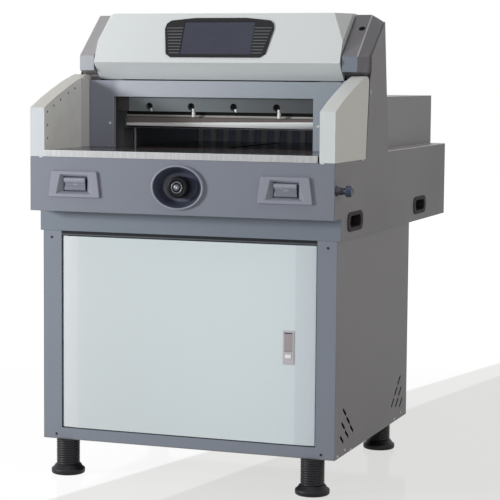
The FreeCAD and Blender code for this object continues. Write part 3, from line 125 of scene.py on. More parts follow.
class Paint(Sheet):  # a material with one Principled shader
    def __init__(self, name, colour, roughness=0.5, **constants):
        self.material = bpy.data.materials.new(name)
        super().__init__(self.material)
        self.body = self.add("BsdfPrincipled")
        self.inputs = self.body.socket.node.inputs
        self.out = self.add("OutputMaterial", None, {0: self.body})
        self.set("Base Color", (*colour, 1.0))
        self.set("Roughness", roughness)
        for socket, value in constants.items():
            self.set(socket.replace("_", " "), value)
        self.material.diffuse_color = (*colour, 1.0)

    def set(self, socket, value):
        self.feed(self.inputs[socket], value)

    def where(self, stretch=(1, 1, 1)):  # the object's own coordinates, in metres
        place = self.add("TexCoord", output="Object")
        return self.add("Mapping", {"vector_type": "POINT"}, {"Vector": place, "Scale": stretch})

    def noise(self, size, detail=2.0, rough=0.5, stretch=(1, 1, 1)):  # lumps of this size in mm
        return self.add("TexNoise", {"noise_dimensions": "3D"}, {
            "Vector": self.where(stretch), "Scale": 1000.0 / size, "Detail": detail, "Roughness": rough})

    def axis(self, name):  # one object coordinate, in metres
        return self.add("SeparateXYZ", None, {0: self.add("TexCoord", output="Object")}, name)

    def shadeAcross(self, tone, steps):  # painted light and shade: the tone goes over to others from left to right
        for edge, soft, other in steps:
            tone = self.blend(self.axis("X").above(edge, soft), tone, other)
        return tone

    def blend(self, factor, first, second):
        pair = [value if isinstance(value, Signal) else (*value, 1.0) for value in (first, second)]
        return self.add("Mix", {"data_type": "RGBA"}, {0: factor, 6: pair[0], 7: pair[1]}, output=2)

    def bump(self, height, strength, depth):  # depth in mm
        relief = {"Height": height, "Strength": strength, "Distance": depth / 1000}
        self.set("Normal", self.add("Bump", None, relief))


# finishes
def powderCoat(name, colour, roughness=0.42, cloudy=0.04, steps=()):  # orange peel and a fine speck
    paint = Paint(name, colour, roughness, Specular_IOR_Level=0.4)
    cloud = paint.noise(260, 3.0)
    speck = paint.noise(1.1, 1.0)
    # the steps paint light and shade across the part
    tone = paint.shadeAcross(paint.blend(cloud, shade(colour, 1 - cloudy), shade(colour, 1 + cloudy)), steps)
    paint.set("Base Color", paint.blend(speck.above(0.62, 0.14) * 0.3, tone, shade(colour, 0.88)))
    paint.set("Roughness", roughness - 0.06 + cloud * 0.12)
    paint.bump(paint.noise(2.4, 2.0) + speck * 0.3, 0.2, 0.12)
    return paint.material


def castPaint(name, colour, roughness=0.55, steps=()):  # paint over a sand casting, thin in places
    paint = Paint(name, colour, roughness)
    lump = paint.noise(6.0, 4.0, 0.6)
    wear = paint.noise(55, 5.0, 0.65)
    tone = paint.blend(wear.above(0.62, 0.2) * 0.5, colour, shade(colour, 0.75))
    # the steps paint light and shade across the part
    paint.set("Base Color", paint.shadeAcross(tone, steps))
    paint.set("Roughness", roughness - 0.08 + wear * 0.16)
    paint.bump(lump, 0.35, 0.5)
    return paint.material


# grinding lines run along one axis
def groundSteel(name, colour, roughness=0.3, along="x", contrast=0.1, metal=1.0):
    paint = Paint(name, colour, roughness, Metallic=metal)
    stretch = tuple(0.02 if letter == along else 1.0 for letter in "xyz")
    lines = paint.noise(0.9, 3.0, 0.6, stretch)
    patch = paint.noise(90, 3.0)
    paint.set("Base Color", paint.blend(lines, shade(colour, 1 - contrast), shade(colour, 1 + contrast)))
    paint.set("Roughness", roughness - 0.08 + lines * 0.1 + patch * 0.1)
    paint.bump(lines, 0.12, 0.04)
    return paint.material


def moulded(name, colour, roughness=0.5, grain=0.3, size=0.8, **constants):  # grained plastic
    paint = Paint(name, colour, roughness, **constants)
    patch = paint.noise(40, 3.0)
    paint.set("Base Color", paint.blend(patch, shade(colour, 0.9), shade(colour, 1.1)))
    paint.set("Roughness", roughness - 0.06 + patch * 0.12)
    paint.bump(paint.noise(size, 2.0), grain, 0.08)
    return paint.material


def screenGlass(name, dark, pale):  # a dead screen with faint smears
    paint = Paint(name, dark, 0.2, Specular_IOR_Level=0.2)
    smear = paint.noise(48, 3.0)
    paint.set("Base Color", paint.blend(smear, dark, pale))
    paint.set("Roughness", 0.22 + smear * 0.12)
    paint.bump(paint.noise(30, 1.0), 0.04, 0.05)
    return paint.material


def groovedEdge(name, colour, rim):  # the table's front edge, milled with upright grooves, with a painted highlight along its top rim
    paint = Paint(name, colour, 0.45, Metallic=0.35)
    grooves = paint.noise(3.2, 2.0, 0.7, (1.0, 1.0, 0.06))
    rimHighlight = paint.axis("Z").above(rim, 0.0012)
    tone = paint.blend(grooves.above(0.5, 0.4), shade(colour, 0.90), shade(colour, 1.10))
    paint.set("Base Color", paint.blend(rimHighlight, tone, shade(colour, 1.5)))
    paint.set("Roughness", 0.38 + grooves * 0.15)
    paint.bump(grooves, 0.5, 0.15)
    return paint.material


finish = {
    "panelGrey": powderCoat("panelGrey", tint(119, 123, 134), 0.42),
    "apronGrey": powderCoat("apronGrey", tint(116, 124, 135), 0.42),
    "postGrey": powderCoat("postGrey", tint(123, 129, 140), 0.42),
    "bezelGrey": powderCoat("bezelGrey", tint(137, 139, 151), 0.40),
    "sideGrey": powderCoat("sideGrey", tint(105, 102, 105), 0.46),
    "rearGrey": powderCoat("rearGrey", tint(122, 120, 121), 0.46),
    "shoulderGrey": powderCoat("shoulderGrey", tint(106, 104, 110), 0.38),
    "shoulderLeftLit": powderCoat("shoulderLeftLit", tint(164, 161, 163), 0.34),
    "shoulderLeftFrontLit": powderCoat("shoulderLeftFrontLit", tint(163, 167, 173), 0.34),
    "edgeGlint": powderCoat("edgeGlint", tint(190, 186, 188), 0.3),
    "coverWhite": powderCoat("coverWhite", tint(213, 217, 217), 0.40, cloudy=0.015),
    "guardWhite": powderCoat("guardWhite", tint(211, 218, 218), 0.42, cloudy=0.015),
    "guardIvory": powderCoat("guardIvory", tint(215, 213, 206), 0.42, cloudy=0.015),
    "guardCool": powderCoat("guardCool", tint(196, 201, 204), 0.42, cloudy=0.015),
    "guardPale": powderCoat("guardPale", tint(226, 228, 226), 0.42, cloudy=0.015),
    "flangeGrey": powderCoat("flangeGrey", tint(182, 182, 182), 0.42, cloudy=0.015),
    "rearTopPale": powderCoat("rearTopPale", tint(176, 174, 174), 0.4),
    # the door's face carries painted light and shade: a paler strip at the left, a darker one at the right,
    # and lighter towards the right between them
    "doorWhite": powderCoat("doorWhite", tint(206, 210, 213), 0.38, cloudy=0.015,
                            steps=((-0.2945, 0.006, tint(199, 207, 209)), (-0.005, 0.57, tint(214, 224, 227)),
                                   (0.2865, 0.006, tint(205, 214, 220)))),
    # painted light and shade: the column left of the opening is darker as the guard's cast shadow, and the
    # face darkens towards the right
    "fasciaGrey": powderCoat("fasciaGrey", tint(138, 141, 154), 0.36,
                             steps=((-0.268, 0.03, tint(179, 183, 193)), (0.08, 0.9, tint(132, 142, 151)))),
    # the two tones of the painted shade on the strip above the door
    "headShadeBlack": moulded("headShadeBlack", tint(20, 22, 26), 0.6, Specular_IOR_Level=0.2),
    "headShadeGrey": moulded("headShadeGrey", tint(78, 82, 88), 0.5, Specular_IOR_Level=0.3),
    "insideGrey": powderCoat("insideGrey", tint(120, 120, 124), 0.5),
    "cabinetGrey": powderCoat("cabinetGrey", tint(119, 116, 119), 0.46),
    "shoulderFront": powderCoat("shoulderFront", tint(118, 126, 137), 0.38),
    "keyDark": moulded("keyDark", tint(9, 9, 10), 0.6, Specular_IOR_Level=0.08),
    "boxBeige": powderCoat("boxBeige", tint(176, 174, 164), 0.5),
    # painted shade: the carrier darkens towards the right
    "castGreen": castPaint("castGreen", tint(110, 119, 122), steps=[(0.03, 0.52, tint(53, 57, 60))]),
    "castGrey": castPaint("castGrey", tint(96, 97, 100)),
    "driveDark": castPaint("driveDark", tint(44, 45, 48), 0.5),
    "tableSteel": groundSteel("tableSteel", tint(104, 103, 104), 0.16, "x", metal=0.6),
    "edgeSteel": groovedEdge("edgeSteel", tint(171, 172, 173), rim=0.8322),
    "fenceSteel": groundSteel("fenceSteel", tint(170, 172, 176), 0.34, "y"),
    "shaftSteel": groundSteel("shaftSteel", tint(172, 174, 176), 0.28, "z"),
    "bladeBody": groundSteel("bladeBody", tint(91, 83, 81), 0.42, "x", metal=0.45),
    "bladeBevelHighlight": groundSteel("bladeBevelHighlight", tint(252, 254, 255), 0.4, "x", contrast=0.03, metal=0.0),
    "bladeChamferHighlight": groundSteel("bladeChamferHighlight", tint(186, 184, 178), 0.4, "x", contrast=0.05, metal=0.0),
    "bladePaintedShade": moulded("bladePaintedShade", tint(11, 11, 13), 0.6, 0.1, Specular_IOR_Level=0.12),
    "lockSilver": groundSteel("lockSilver", tint(178, 172, 176), 0.36, "x"),
    "leverSilver": groundSteel("leverSilver", tint(150, 144, 147), 0.36, "x"),
    "gaugeAlloy": groundSteel("gaugeAlloy", tint(206, 208, 216), 0.45, "z", metal=0.1),
    "gaugeDark": moulded("gaugeDark", tint(166, 172, 194), 0.45),
    "footBlack": moulded("footBlack", tint(14, 14, 19), 0.48, 0.4, size=1.6, Specular_IOR_Level=0.3),
    "blackPlastic": moulded("blackPlastic", tint(16, 16, 19), 0.5, Specular_IOR_Level=0.3),
    "gripRim": moulded("gripRim", tint(46, 43, 43), 0.65, 0.5, size=1.2, Specular_IOR_Level=0.12),
    "gripBlack": moulded("gripBlack", tint(26, 23, 24), 0.6, 0.5, size=1.2, Specular_IOR_Level=0.15),
    "wheelBlack": moulded("wheelBlack", tint(8, 8, 11), 0.4, 0.08, Specular_IOR_Level=0.14),
    "bowlDark": moulded("bowlDark", tint(66, 70, 86), 0.34, 0.1),
    "buttonFace": moulded("buttonFace", tint(146, 148, 160), 0.28, 0.1),
    "buttonShade": moulded("buttonShade", tint(112, 114, 127), 0.34, 0.1),
    "carrierPaintedShadow": castPaint("carrierPaintedShadow", tint(34, 31, 30), 0.6),
    "pocketDark": moulded("pocketDark", tint(36, 37, 46), 0.45, 0.2),
    "panelDark": moulded("panelDark", tint(28, 28, 30), 0.5, 0.3, Specular_IOR_Level=0.2),
    "ribDark": moulded("ribDark", tint(80, 84, 86), 0.42, 0.1),
    "whitePlastic": moulded("whitePlastic", tint(236, 236, 236), 0.35, 0.1),
    "stickRed": moulded("stickRed", tint(150, 40, 34), 0.5, 0.4, size=2.0),
    "lensDark": moulded("lensDark", tint(92, 93, 90), 0.25, 0.05),
    "curtainGrey": moulded("curtainGrey", tint(238, 238, 234), 0.40, 0.15),
    "screwWhite": moulded("screwWhite", tint(228, 228, 230), 0.26, 0.05),
    "pinWhite": moulded("pinWhite", tint(236, 236, 234), 0.4, 0.05),
    "screwDark": groundSteel("screwDark", tint(54, 56, 62), 0.36, "z"),
    "pivotSteel": groundSteel("pivotSteel", tint(150, 150, 152), 0.34, "z", metal=0.7),
    "capSteel": groundSteel("capSteel", tint(92, 95, 100), 0.34, "z", metal=0.8),
    "capBright": groundSteel("capBright", tint(190, 192, 196), 0.26, "z", metal=0.7),
    "knobSteel": groundSteel("knobSteel", tint(64, 62, 70), 0.26, "x"),
    "knobDark": groundSteel("knobDark", tint(54, 61, 80), 0.24, "x", metal=0.7),
    "screenGlass": screenGlass("screenGlass", tint(57, 59, 72), tint(64, 66, 79)),
}
print("finishes made:", len(finish))


# mesh helpers
def turned(bm):
    bmesh.ops.recalc_face_normals(bm, faces=bm.faces)
    return bm


def smoothEdges(bm, edges, radius, steps=3):  # a bevel in millimetres
    made = bmesh.ops.bevel(bm, geom=edges, offset=radius / 1000, offset_type="OFFSET", segments=steps,
                           profile=0.5, affect="EDGES", material=-1, clamp_overlap=True)
    for face in made["faces"]:
        for edge in face.edges:
            edge.smooth = True


def sharpEdges(bm, angle=30, chosen=None):
    return [edge for edge in bm.edges if len(edge.link_faces) == 2
            and edge.calc_face_angle(0) > math.radians(angle) and (chosen is None or chosen(edge))]


def cut(bm, point, normal, **cleared):  # splits the faces along a plane
    whole = bm.verts[:] + bm.edges[:] + bm.faces[:]
    bmesh.ops.bisect_plane(bm, geom=whole, plane_co=point, plane_no=normal, **cleared)


def place(point):  # a mesh point in millimetres from the front face
    return Vector((point.x * 1000, point.y * 1000 + depthShift, point.z * 1000))


def middle(edge):
    return place((edge.verts[0].co + edge.verts[1].co) / 2)


def runs(edge, letter):  # whether an edge runs along an axis
    along = (edge.verts[1].co - edge.verts[0].co).normalized()
    return abs(getattr(along, letter)) > 0.7


def pushed(bm, face):  # extrudes one face and returns the new one; only a first face stays behind
    first = all(edge.is_boundary for edge in face.edges)
    made = bmesh.ops.extrude_face_region(bm, geom=[face])
    if not first:
        bmesh.ops.delete(bm, geom=[face], context="FACES_ONLY")
    return next(item for item in made["geom"] if isinstance(item, bmesh.types.BMFace))


def loft(bm, outlines):  # the first outline is pushed and stretched to each of the others
    face = bm.faces.new([bm.verts.new(spot(*corner)) for corner in outlines[0]])
    for corners in outlines[1:]:
        face = pushed(bm, face)
        for vert, corner in zip(face.verts, corners):
            vert.co = spot(*corner)
    return face


def slab(bm, corners, travel):  # a flat outline pushed along a vector
    shift = Vector(travel)
    return loft(bm, [corners, [tuple(Vector(corner) + shift) for corner in corners]])


def turnTo(axis):
    return Vector((0, 0, 1)).rotation_difference(Vector(axis).normalized()).to_matrix().to_4x4()


# the profile gives radius and height, and closes on the axis unless it is a ring
def lathe(bm, profile, centre, axis=(0, 0, 1), steps=48, widen=1.0, ring=False, tone=0):
    own = bmesh.new()
    ends = [] if ring else [(0, profile[-1][1])] if profile[-1][0] else []
    start = [] if ring else [(0, profile[0][1])] if profile[0][0] else []
    verts = [own.verts.new(vec(radius, 0, height)) for radius, height in start + list(profile) + ends]
    edges = [own.edges.new(pair) for pair in zip(verts, verts[1:] + (verts[:1] if ring else []))]
    bmesh.ops.spin(own, geom=verts + edges, cent=(0, 0, 0), axis=(0, 0, 1), angle=2 * math.pi,
                   steps=steps, use_merge=True)
    bmesh.ops.remove_doubles(own, verts=own.verts, dist=1e-6)
    turned(own)
    for face in own.faces:
        face.material_index = tone
    shape = Matrix.Translation(spot(*centre)) @ Matrix.Diagonal((widen, 1, 1, 1)) @ turnTo(axis)
    bmesh.ops.transform(own, matrix=shape, verts=own.verts)
    pour(own, bm)


def pour(own, bm):  # adds one mesh to another
    scrap = bpy.data.meshes.new("scrap")
    own.to_mesh(scrap)
    own.free()
    bm.from_mesh(scrap)
    bpy.data.meshes.remove(scrap)


def flipSide(bm):  # moves the shapes to the other side of the machine
    bmesh.ops.scale(bm, vec=(-1, 1, 1), verts=bm.verts)
    bmesh.ops.reverse_faces(bm, faces=bm.faces)


def mirrorCopy(bm):  # adds the same shapes on the other side of the machine
    other = bm.copy()
    flipSide(other)
    pour(other, bm)


def settle(bm, name, material, body, replaces=(), sharp=45, even=False):
    mesh = bpy.data.meshes.new(name)
    for face in bm.faces:
        face.smooth = True
    bm.to_mesh(mesh)
    bm.free()
    if sharp:
        mesh.set_sharp_from_angle(angle=math.radians(sharp))
    for entry in material if isinstance(material, (list, tuple)) else [material]:
        mesh.materials.append(finish[entry])
    piece = bpy.data.objects.new(name, mesh)
    bpy.context.scene.collection.objects.link(piece)
    if even:  # large flat faces keep their shading up to a rounded edge
        piece.modifiers.new("even", "WEIGHTED_NORMAL").keep_sharp = True
    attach(piece, body)
    if replaces:
        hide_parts(*replaces)


bodies = frame["record"]["behaviour"]["bodies"]
nodeBody = {node: body for body, members in bodies.items() for node in members}


# angles in degrees; merge is a distance in scene metres and strip a width in millimetres
soften = {"merge": 2e-6, "coplanar": 0.6, "bend": (0.8, 30), "strip": 12, "shaded": 35, "edge": 28}


def bendOf(edge):  # the angle between an edge's faces, in degrees
    return math.degrees(edge.calc_face_angle(0)) if len(edge.link_faces) == 2 else 180


def fromNode(node):  # a merged copy of a CAD node; edges between flat faces are marked sharp
    bm = bmesh.new()
    bm.from_mesh(frame["nodes"][node].data)
    bmesh.ops.remove_doubles(bm, verts=bm.verts, dist=soften["merge"])
    bmesh.ops.dissolve_limit(bm, angle_limit=math.radians(soften["coplanar"]), verts=bm.verts, edges=bm.edges)
    least, most = soften["bend"]
    curved = set()
    for face in bm.faces:
        face.material_index = 0
        longest = max(edge.calc_length() for edge in face.edges)
        bends = any(least < bendOf(edge) < most for edge in face.edges)
        if bends and face.calc_area() / longest < soften["strip"] / 1000:
            curved.add(face.index)
    for edge in bm.edges:
        flat = sum(face.index not in curved for face in edge.link_faces)
        edge.smooth = bendOf(edge) < 1 or (bendOf(edge) < soften["shaded"] and flat < 2)
    return bm


def carry(node, material, radius=0.8, steps=3, paintFace=None, change=None):  # a softened copy of a CAD node
    bm = fromNode(node)
    if change:
        change(bm)
    if paintFace:
        for face in bm.faces:
            face.material_index = paintFace(face.normal, place(face.calc_center_median()))
    smoothEdges(bm, sharpEdges(bm, soften["edge"]), radius, steps)
    settle(bm, "soft_" + node, material, nodeBody[node], [node], sharp=0, even=True)


def screw(bm, centre, axis, radius=3.2, height=1.9):  # a round head with a socket
    sunk = height * 0.45
    lathe(bm, [(radius * 0.36, sunk), (radius * 0.44, height - 0.12), (radius * 0.62, height),
               (radius * 0.86, height * 0.72), (radius, height * 0.3), (radius, -0.4)], centre, axis, 20)


# stand
foot = {"side": 330, "front": 73, "rear": 675, "disc": 43, "post": 30, "thread": 1.7, "pitch": 6.1,
        "threadFrom": 24.4, "top": 89.7, "stem": 10, "stemTop": 116, "sides": 40}


def makeFoot(end, side, sign):  # a disc, a threaded post and the stem that screws into the stand
    x, y = sign * foot["side"], foot[end]
    disc, stem, stemTop = foot["disc"], foot["stem"], foot["stemTop"]
    bm = bmesh.new()
    lathe(bm, [(disc - 4, 0), (disc - 1.2, 1.6), (disc, 4.5), (disc, 12), (disc - 1, 14), (disc - 4.5, 15.6),
               (32.5, 24.2), (30.5, 25.2), (26, 25.4)], (x, y, 0), steps=56)
    lathe(bm, [(stem, foot["top"] - 2), (stem, stemTop - 1.5), (stem - 1.5, stemTop)], (x, y, 0), steps=28)
    own = bmesh.new()
    root, crest, pitch = foot["post"] - foot["thread"], foot["post"], foot["pitch"]
    turns = math.ceil((foot["top"] - foot["threadFrom"]) / pitch) + 2
    low = foot["threadFrom"] - pitch
    tooth = [(root, 0), (root, 1.2), (crest - 0.3, 2.6), (crest, 3.0), (crest, 4.1), (crest - 0.3, 4.5),
             (root, pitch)]
    verts = [own.verts.new(vec(radius, 0, low + height)) for radius, height in tooth]
    edges = [own.edges.new(pair) for pair in zip(verts, verts[1:])]
    bmesh.ops.spin(own, geom=verts + edges, cent=(0, 0, 0), axis=(0, 0, 1), angle=2 * math.pi * turns,
                   steps=foot["sides"] * turns, dvec=vec(0, 0, pitch / foot["sides"]))
    bmesh.ops.remove_doubles(own, verts=own.verts, dist=2e-5)
    for level, cleared in ((foot["threadFrom"], "clear_inner"), (foot["top"], "clear_outer")):
        cut(own, vec(0, 0, level), (0, 0, 1), **{cleared: True})
        rim = [edge for edge in own.edges
               if edge.is_boundary and abs(edge.verts[0].co.z * 1000 - level) < 0.01]
        bmesh.ops.contextual_create(own, geom=rim)
    turned(own)
    bmesh.ops.translate(own, verts=own.verts, vec=spot(x, y, 0))
    pour(own, bm)
    node = f"levelling_foot_{end}_{side}"
    settle(bm, f"threadedFoot_{end}_{side}", "footBlack", nodeBody[node], [node])


for end in ("front", "rear"):
    makeFoot(end, "left", -1)
    makeFoot(end, "right", 1)

carry("cabinet_floor", "insideGrey", 0.6)
for side in ("left", "right"):
    carry("cabinet_side_" + side, "cabinetGrey", 0.6)
carry("cabinet_back", "cabinetGrey", 0.6)

doorHeadShade = {"half": 341, "low": 616.2, "step": 619.0}


def splitHead(bm):  # the strip above the door is painted as shade: near black under the apron, grey below it where the shade is lighter
    for level in (doorHeadShade["low"], doorHeadShade["step"]):
        cut(bm, spot(0, 0, level), (0, 0, 1))
    for x in (doorHeadShade["half"], -doorHeadShade["half"]):
        cut(bm, spot(x, 0, 0), (1, 0, 0))


def frameTone(normal, at):
    if normal.y > -0.5 or abs(at.x) > doorHeadShade["half"]:
        return 0
    return 2 if at.z > doorHeadShade["step"] else 1 if at.z > doorHeadShade["low"] else 0


carry("door_frame", ["postGrey", "headShadeGrey", "headShadeBlack"], 0.9, change=splitHead, paintFace=frameTone)
carry("cabinet_door", "doorWhite", 0.7)
carry("control_box", "boxBeige", 0.9)
print("stand made")

# pull handle
carry("lock_body", "lockSilver", 0.7)
carry("lock_lever", "leverSilver", 1.2)
carry("lock_button", "whitePlastic", 0.9)

# body
carry("front_panel", "panelGrey", 1.2)
carry("base_pan", "apronGrey", 1.2)
deck = {"level": 828.2, "from": 472, "to": 1090}  # a painted highlight along the deck's outer edge


def splitDeck(bm):
    cut(bm, spot(0, 0, deck["level"]), (0, 0, 1))
    cut(bm, spot(0, deck["from"], 0), (0, 1, 0))


for side in ("left", "right"):
    carry("body_side_" + side, ["sideGrey", "edgeGlint"], 1.1, change=splitDeck,
          paintFace=lambda normal, at: 1 if at.z > deck["level"] and deck["from"] < at.y < deck["to"] else 0)
carry("body_back", "sideGrey", 0.9)
# the rear cover's upward faces are painted paler than its sides
carry("rear_cover", ["rearGrey", "rearTopPale"], 1.1, paintFace=lambda normal, at: 1 if normal.z > 0.9 else 0)
carry("upper_back", "shoulderGrey", 0.9)
carry("power_inlet", "blackPlastic", 0.5)
carry("side_frame_left", "castGrey", 1.5)
carry("side_frame_right", "castGrey", 1.5)
carry("bridge_beam", "castGrey", 1.5)
table = {"half": 357, "toGuard": 3.6, "edgeTo": 30}


def reachGuard(bm):  # the plate's left side closes up to the guard
    for vert in bm.verts:
        if vert.co.x * 1000 < 0.5 - table["half"]:
            vert.co.x -= table["toGuard"] / 1000


# the table's front edge has its own brighter milled finish, with a painted highlight along its top
carry("cutting_table", ["tableSteel", "edgeSteel"], 0.6, 2, change=reachGuard,
      paintFace=lambda normal, at: 1 if normal.y < -0.8 and at.y < table["edgeTo"] else 0)
carry("cutting_stick", "stickRed", 0.4)
carry("side_fences", "fenceSteel", 0.5)


opening = {"left": (-275, -263), "wider": 6.2}


def widenOpening(bm):  # the opening's left side stands a little further out
    for vert in bm.verts:
        if opening["left"][0] < vert.co.x * 1000 < opening["left"][1]:
            vert.co.x -= opening["wider"] / 1000


carry("front_fascia", "fasciaGrey", 0.9, change=widenOpening)


# painted light: the left shoulder takes paler copies of the right's paint for the key light from the left,
# and on each the front band and the rest take their own tones
shoulder = {"crease": (377.2, 379.8), "creaseFrom": 1073, "frontFrom": 1030,
            "left": ["shoulderLeftLit", "edgeGlint", "shoulderLeftFrontLit"],
            "right": ["shoulderGrey", "edgeGlint", "shoulderFront"]}


def splitCrease(bm):  # a painted highlight along the shoulder's long edge
    for x in shoulder["crease"]:
        for sign in (-1, 1):
            cut(bm, spot(sign * x, 0, 0), (1, 0, 0))


def shoulderTone(normal, at):
    inner, outer = shoulder["crease"]
    if inner < abs(at.x) < outer and at.z > shoulder["creaseFrom"] and normal.y < 0.3:
        return 1
    return 2 if normal.y < -0.9 and at.z > shoulder["frontFrom"] else 0


# painted light: each guard's front faces and upward faces take lighter or darker copies of its white paint
guard = {"heelBehind": 250, "heelAbove": 1000, "heelRound": 9, "frontTo": 10,
         "left": ["guardIvory", "guardCool", "guardIvory"],
         "right": ["guardIvory", "guardWhite", "guardPale"]}


def roundHeel(bm):  # the guard's upper rear corner is rounded
    heel = [edge for edge in sharpEdges(bm, 15) if runs(edge, "x") and middle(edge).y > guard["heelBehind"]
            and middle(edge).z > guard["heelAbove"]]
    smoothEdges(bm, heel, guard["heelRound"], 5)


def guardTone(normal, at):
    if normal.y < -0.9 and at.y < guard["frontTo"]:
        return 1
    return 2 if normal.z > 0.3 else 0


for side in ("left", "right"):
    carry("shoulder_" + side, shoulder[side], 1.2, change=splitCrease, paintFace=shoulderTone)
    carry("guard_" + side, guard[side], 0.9, change=roundHeel, paintFace=guardTone)
# painted light: the light curtains are paler than the guards' white so the guards' shaded inner faces read
# brighter
carry("light_curtains", "curtainGrey", 0.4)
carry("key_lock", "keyDark", 0.5)
print("body made")

# hood and screen
carry("hood", "coverWhite", 1.2)
carry("hinge_leaves", "shaftSteel", 0.4)
panel = {"inside": 105, "low": 1066, "high": 1160, "in": 6, "out": 4}


def taperPanel(bm):  # the panel widens upwards beside the screen
    for vert in bm.verts:
        at = place(vert.co)
        if abs(at.x) > panel["inside"]:
            rise = min(1, max(0, (at.z - panel["low"]) / (panel["high"] - panel["low"])))
            grow = rise * (panel["in"] + panel["out"]) - panel["in"]
            vert.co.x += (grow if at.x > 0 else -grow) / 1000


carry("screen_bezel", "panelDark", 0.8, change=taperPanel)
carry("touch_screen", "screenGlass", 0.5)

slope = {"y": 240, "z": 1054, "back": 57, "rise": 127, "length": 139.2}
rib = {"count": 9, "first": 26, "pitch": 8.75, "half": 1.4, "rise": 1.1, "inner": 98, "outerLow": 127,
       "outerTop": 143.5, "face": 3.0}


def onSlope(x, up, out):  # a place on the hood's sloping face
    back, rise = slope["back"] / slope["length"], slope["rise"] / slope["length"]
    return (x, slope["y"] + up * back - out * rise, slope["z"] + up * rise + out * back)


def makeRibs():
    bm = bmesh.new()
    for index in range(rib["count"]):
        up = rib["first"] + index * rib["pitch"]
        outer = rib["outerLow"] + (rib["outerTop"] - rib["outerLow"]) * index / (rib["count"] - 1)
        low, high = up - rib["half"], up + rib["half"]
        foundation, top = rib["face"] - 0.4, rib["face"] + rib["rise"]
        section = [(low, foundation), (low + 0.2, top - 0.4), (low + 1.0, top), (high - 1.0, top),
                   (high - 0.2, top - 0.4), (high, foundation)]
        slab(bm, [onSlope(rib["inner"], *point) for point in section], (outer - rib["inner"], 0, 0))
    mirrorCopy(turned(bm))
    settle(bm, "screenRibs", "ribDark", "hood_cover")


makeRibs()
print("hood made")

# clamp, knife and gauge
carry("clamp_beam", "castGrey", 1.2)
for side in ("left", "right"):
    carry("clamp_screw_" + side, "screwDark", 0.4)
carrier = {"end": -240}


def splitCarrier(bm):  # the carrier's left end is painted dark as the shadow cast on it from the left
    cut(bm, spot(carrier["end"], 0, 0), (1, 0, 0))


carry("knife_carrier", ["castGreen", "carrierPaintedShadow"], 1.0, change=splitCarrier,
      paintFace=lambda normal, at: 1 if at.x < carrier["end"] else 0)
carry("knife_screw", "shaftSteel", 0.4)
pins = {"depth": 264, "top": 937}
# the bolts are painted dark as shade in their bores, and the pins below them are white
carry("knife_fittings", ["bladePaintedShade", "pinWhite"], 0.6,
      paintFace=lambda normal, at: 1 if at.y < pins["depth"] and at.z < pins["top"] else 0)
blade = {"low": 890, "top": 900, "chamfer": 913.5, "step": 918.5, "face": 271.2, "back": 279, "left": -250,
         "long": 500, "topAtLeft": -3.0, "topRise": 8.5, "lowDrop": 2.4}


# from below: a fine second bevel painted dark as shade, the bevel painted near white as a highlight that
# widens to the right, a brown body whose brown is partly a painted reflection, a chamfer painted bright as a
# highlight and the shank painted dark as shade
def makeBlade():
    bm = fromNode("knife_blade")
    for name in ("low", "chamfer", "step"):
        cut(bm, spot(0, 0, blade[name]), (0, 0, 1))
    for vert in [vert for vert in bm.verts if place(vert.co).y < blade["back"]]:
        at = place(vert.co)
        along = (at.x - blade["left"]) / blade["long"]
        if abs(at.z - blade["low"]) < 0.01:  # only corners that lie on these two lines move
            vert.co.y = (blade["face"] - depthShift) / 1000
            vert.co.z -= blade["lowDrop"] * along / 1000
        elif abs(at.z - blade["top"]) < 0.01:
            vert.co.z += (blade["topRise"] * along + blade["topAtLeft"]) / 1000
    for face in [face for face in bm.faces if face.normal.y < -0.05]:
        level = place(face.calc_center_median()).z
        if level < blade["low"] - 1 or level > blade["step"]:
            face.material_index = 2
        else:
            face.material_index = 1 if level < blade["top"] else 3 if level > blade["chamfer"] else 0
    smoothEdges(bm, sharpEdges(bm, 28), 0.12, 1)
    settle(bm, "knifeBlade", ["bladeBody", "bladeBevelHighlight", "bladePaintedShade", "bladeChamferHighlight"], "knife",
           ["knife_blade"], sharp=0, even=True)


makeBlade()
carry("drive_motors", "driveDark", 1.5)
carry("gauge_motor", "driveDark", 1.5)
carry("gauge_guides", "shaftSteel", 0.6)
carry("gauge_carriage", "castGrey", 1.0)
carry("leadscrew", "shaftSteel", 0.3)
gaugePlate = {"from": 806}  # the gauge's ribs are bright against its dark plate
# painted light: both gauge tones are made pale so the dim interior behind the knife reads brighter
carry("backgauge", ["gaugeAlloy", "gaugeDark"], 0.6,
      paintFace=lambda normal, at: 1 if normal.y < -0.8 and at.y > gaugePlate["from"] else 0)
print("clamp, knife and gauge made")

# dial and hand wheel
dial = {"level": 748.5, "wide": 69.5, "high": 55, "steps": 96, "bore": 8.1, "lip": 5.0, "lipBehind": 24}
wheel = {"radius": 27, "front": 6, "rear": -18, "bore": 8.0, "flutes": 30, "flute": 0.9}
cap = {"groove": (8.0, 12.2), "glint": 3.0}


def fromDial(point, stretch=1.0):  # distance from the dial's axis
    at = place(point)
    return math.hypot(at.x / stretch, at.z - dial["level"])


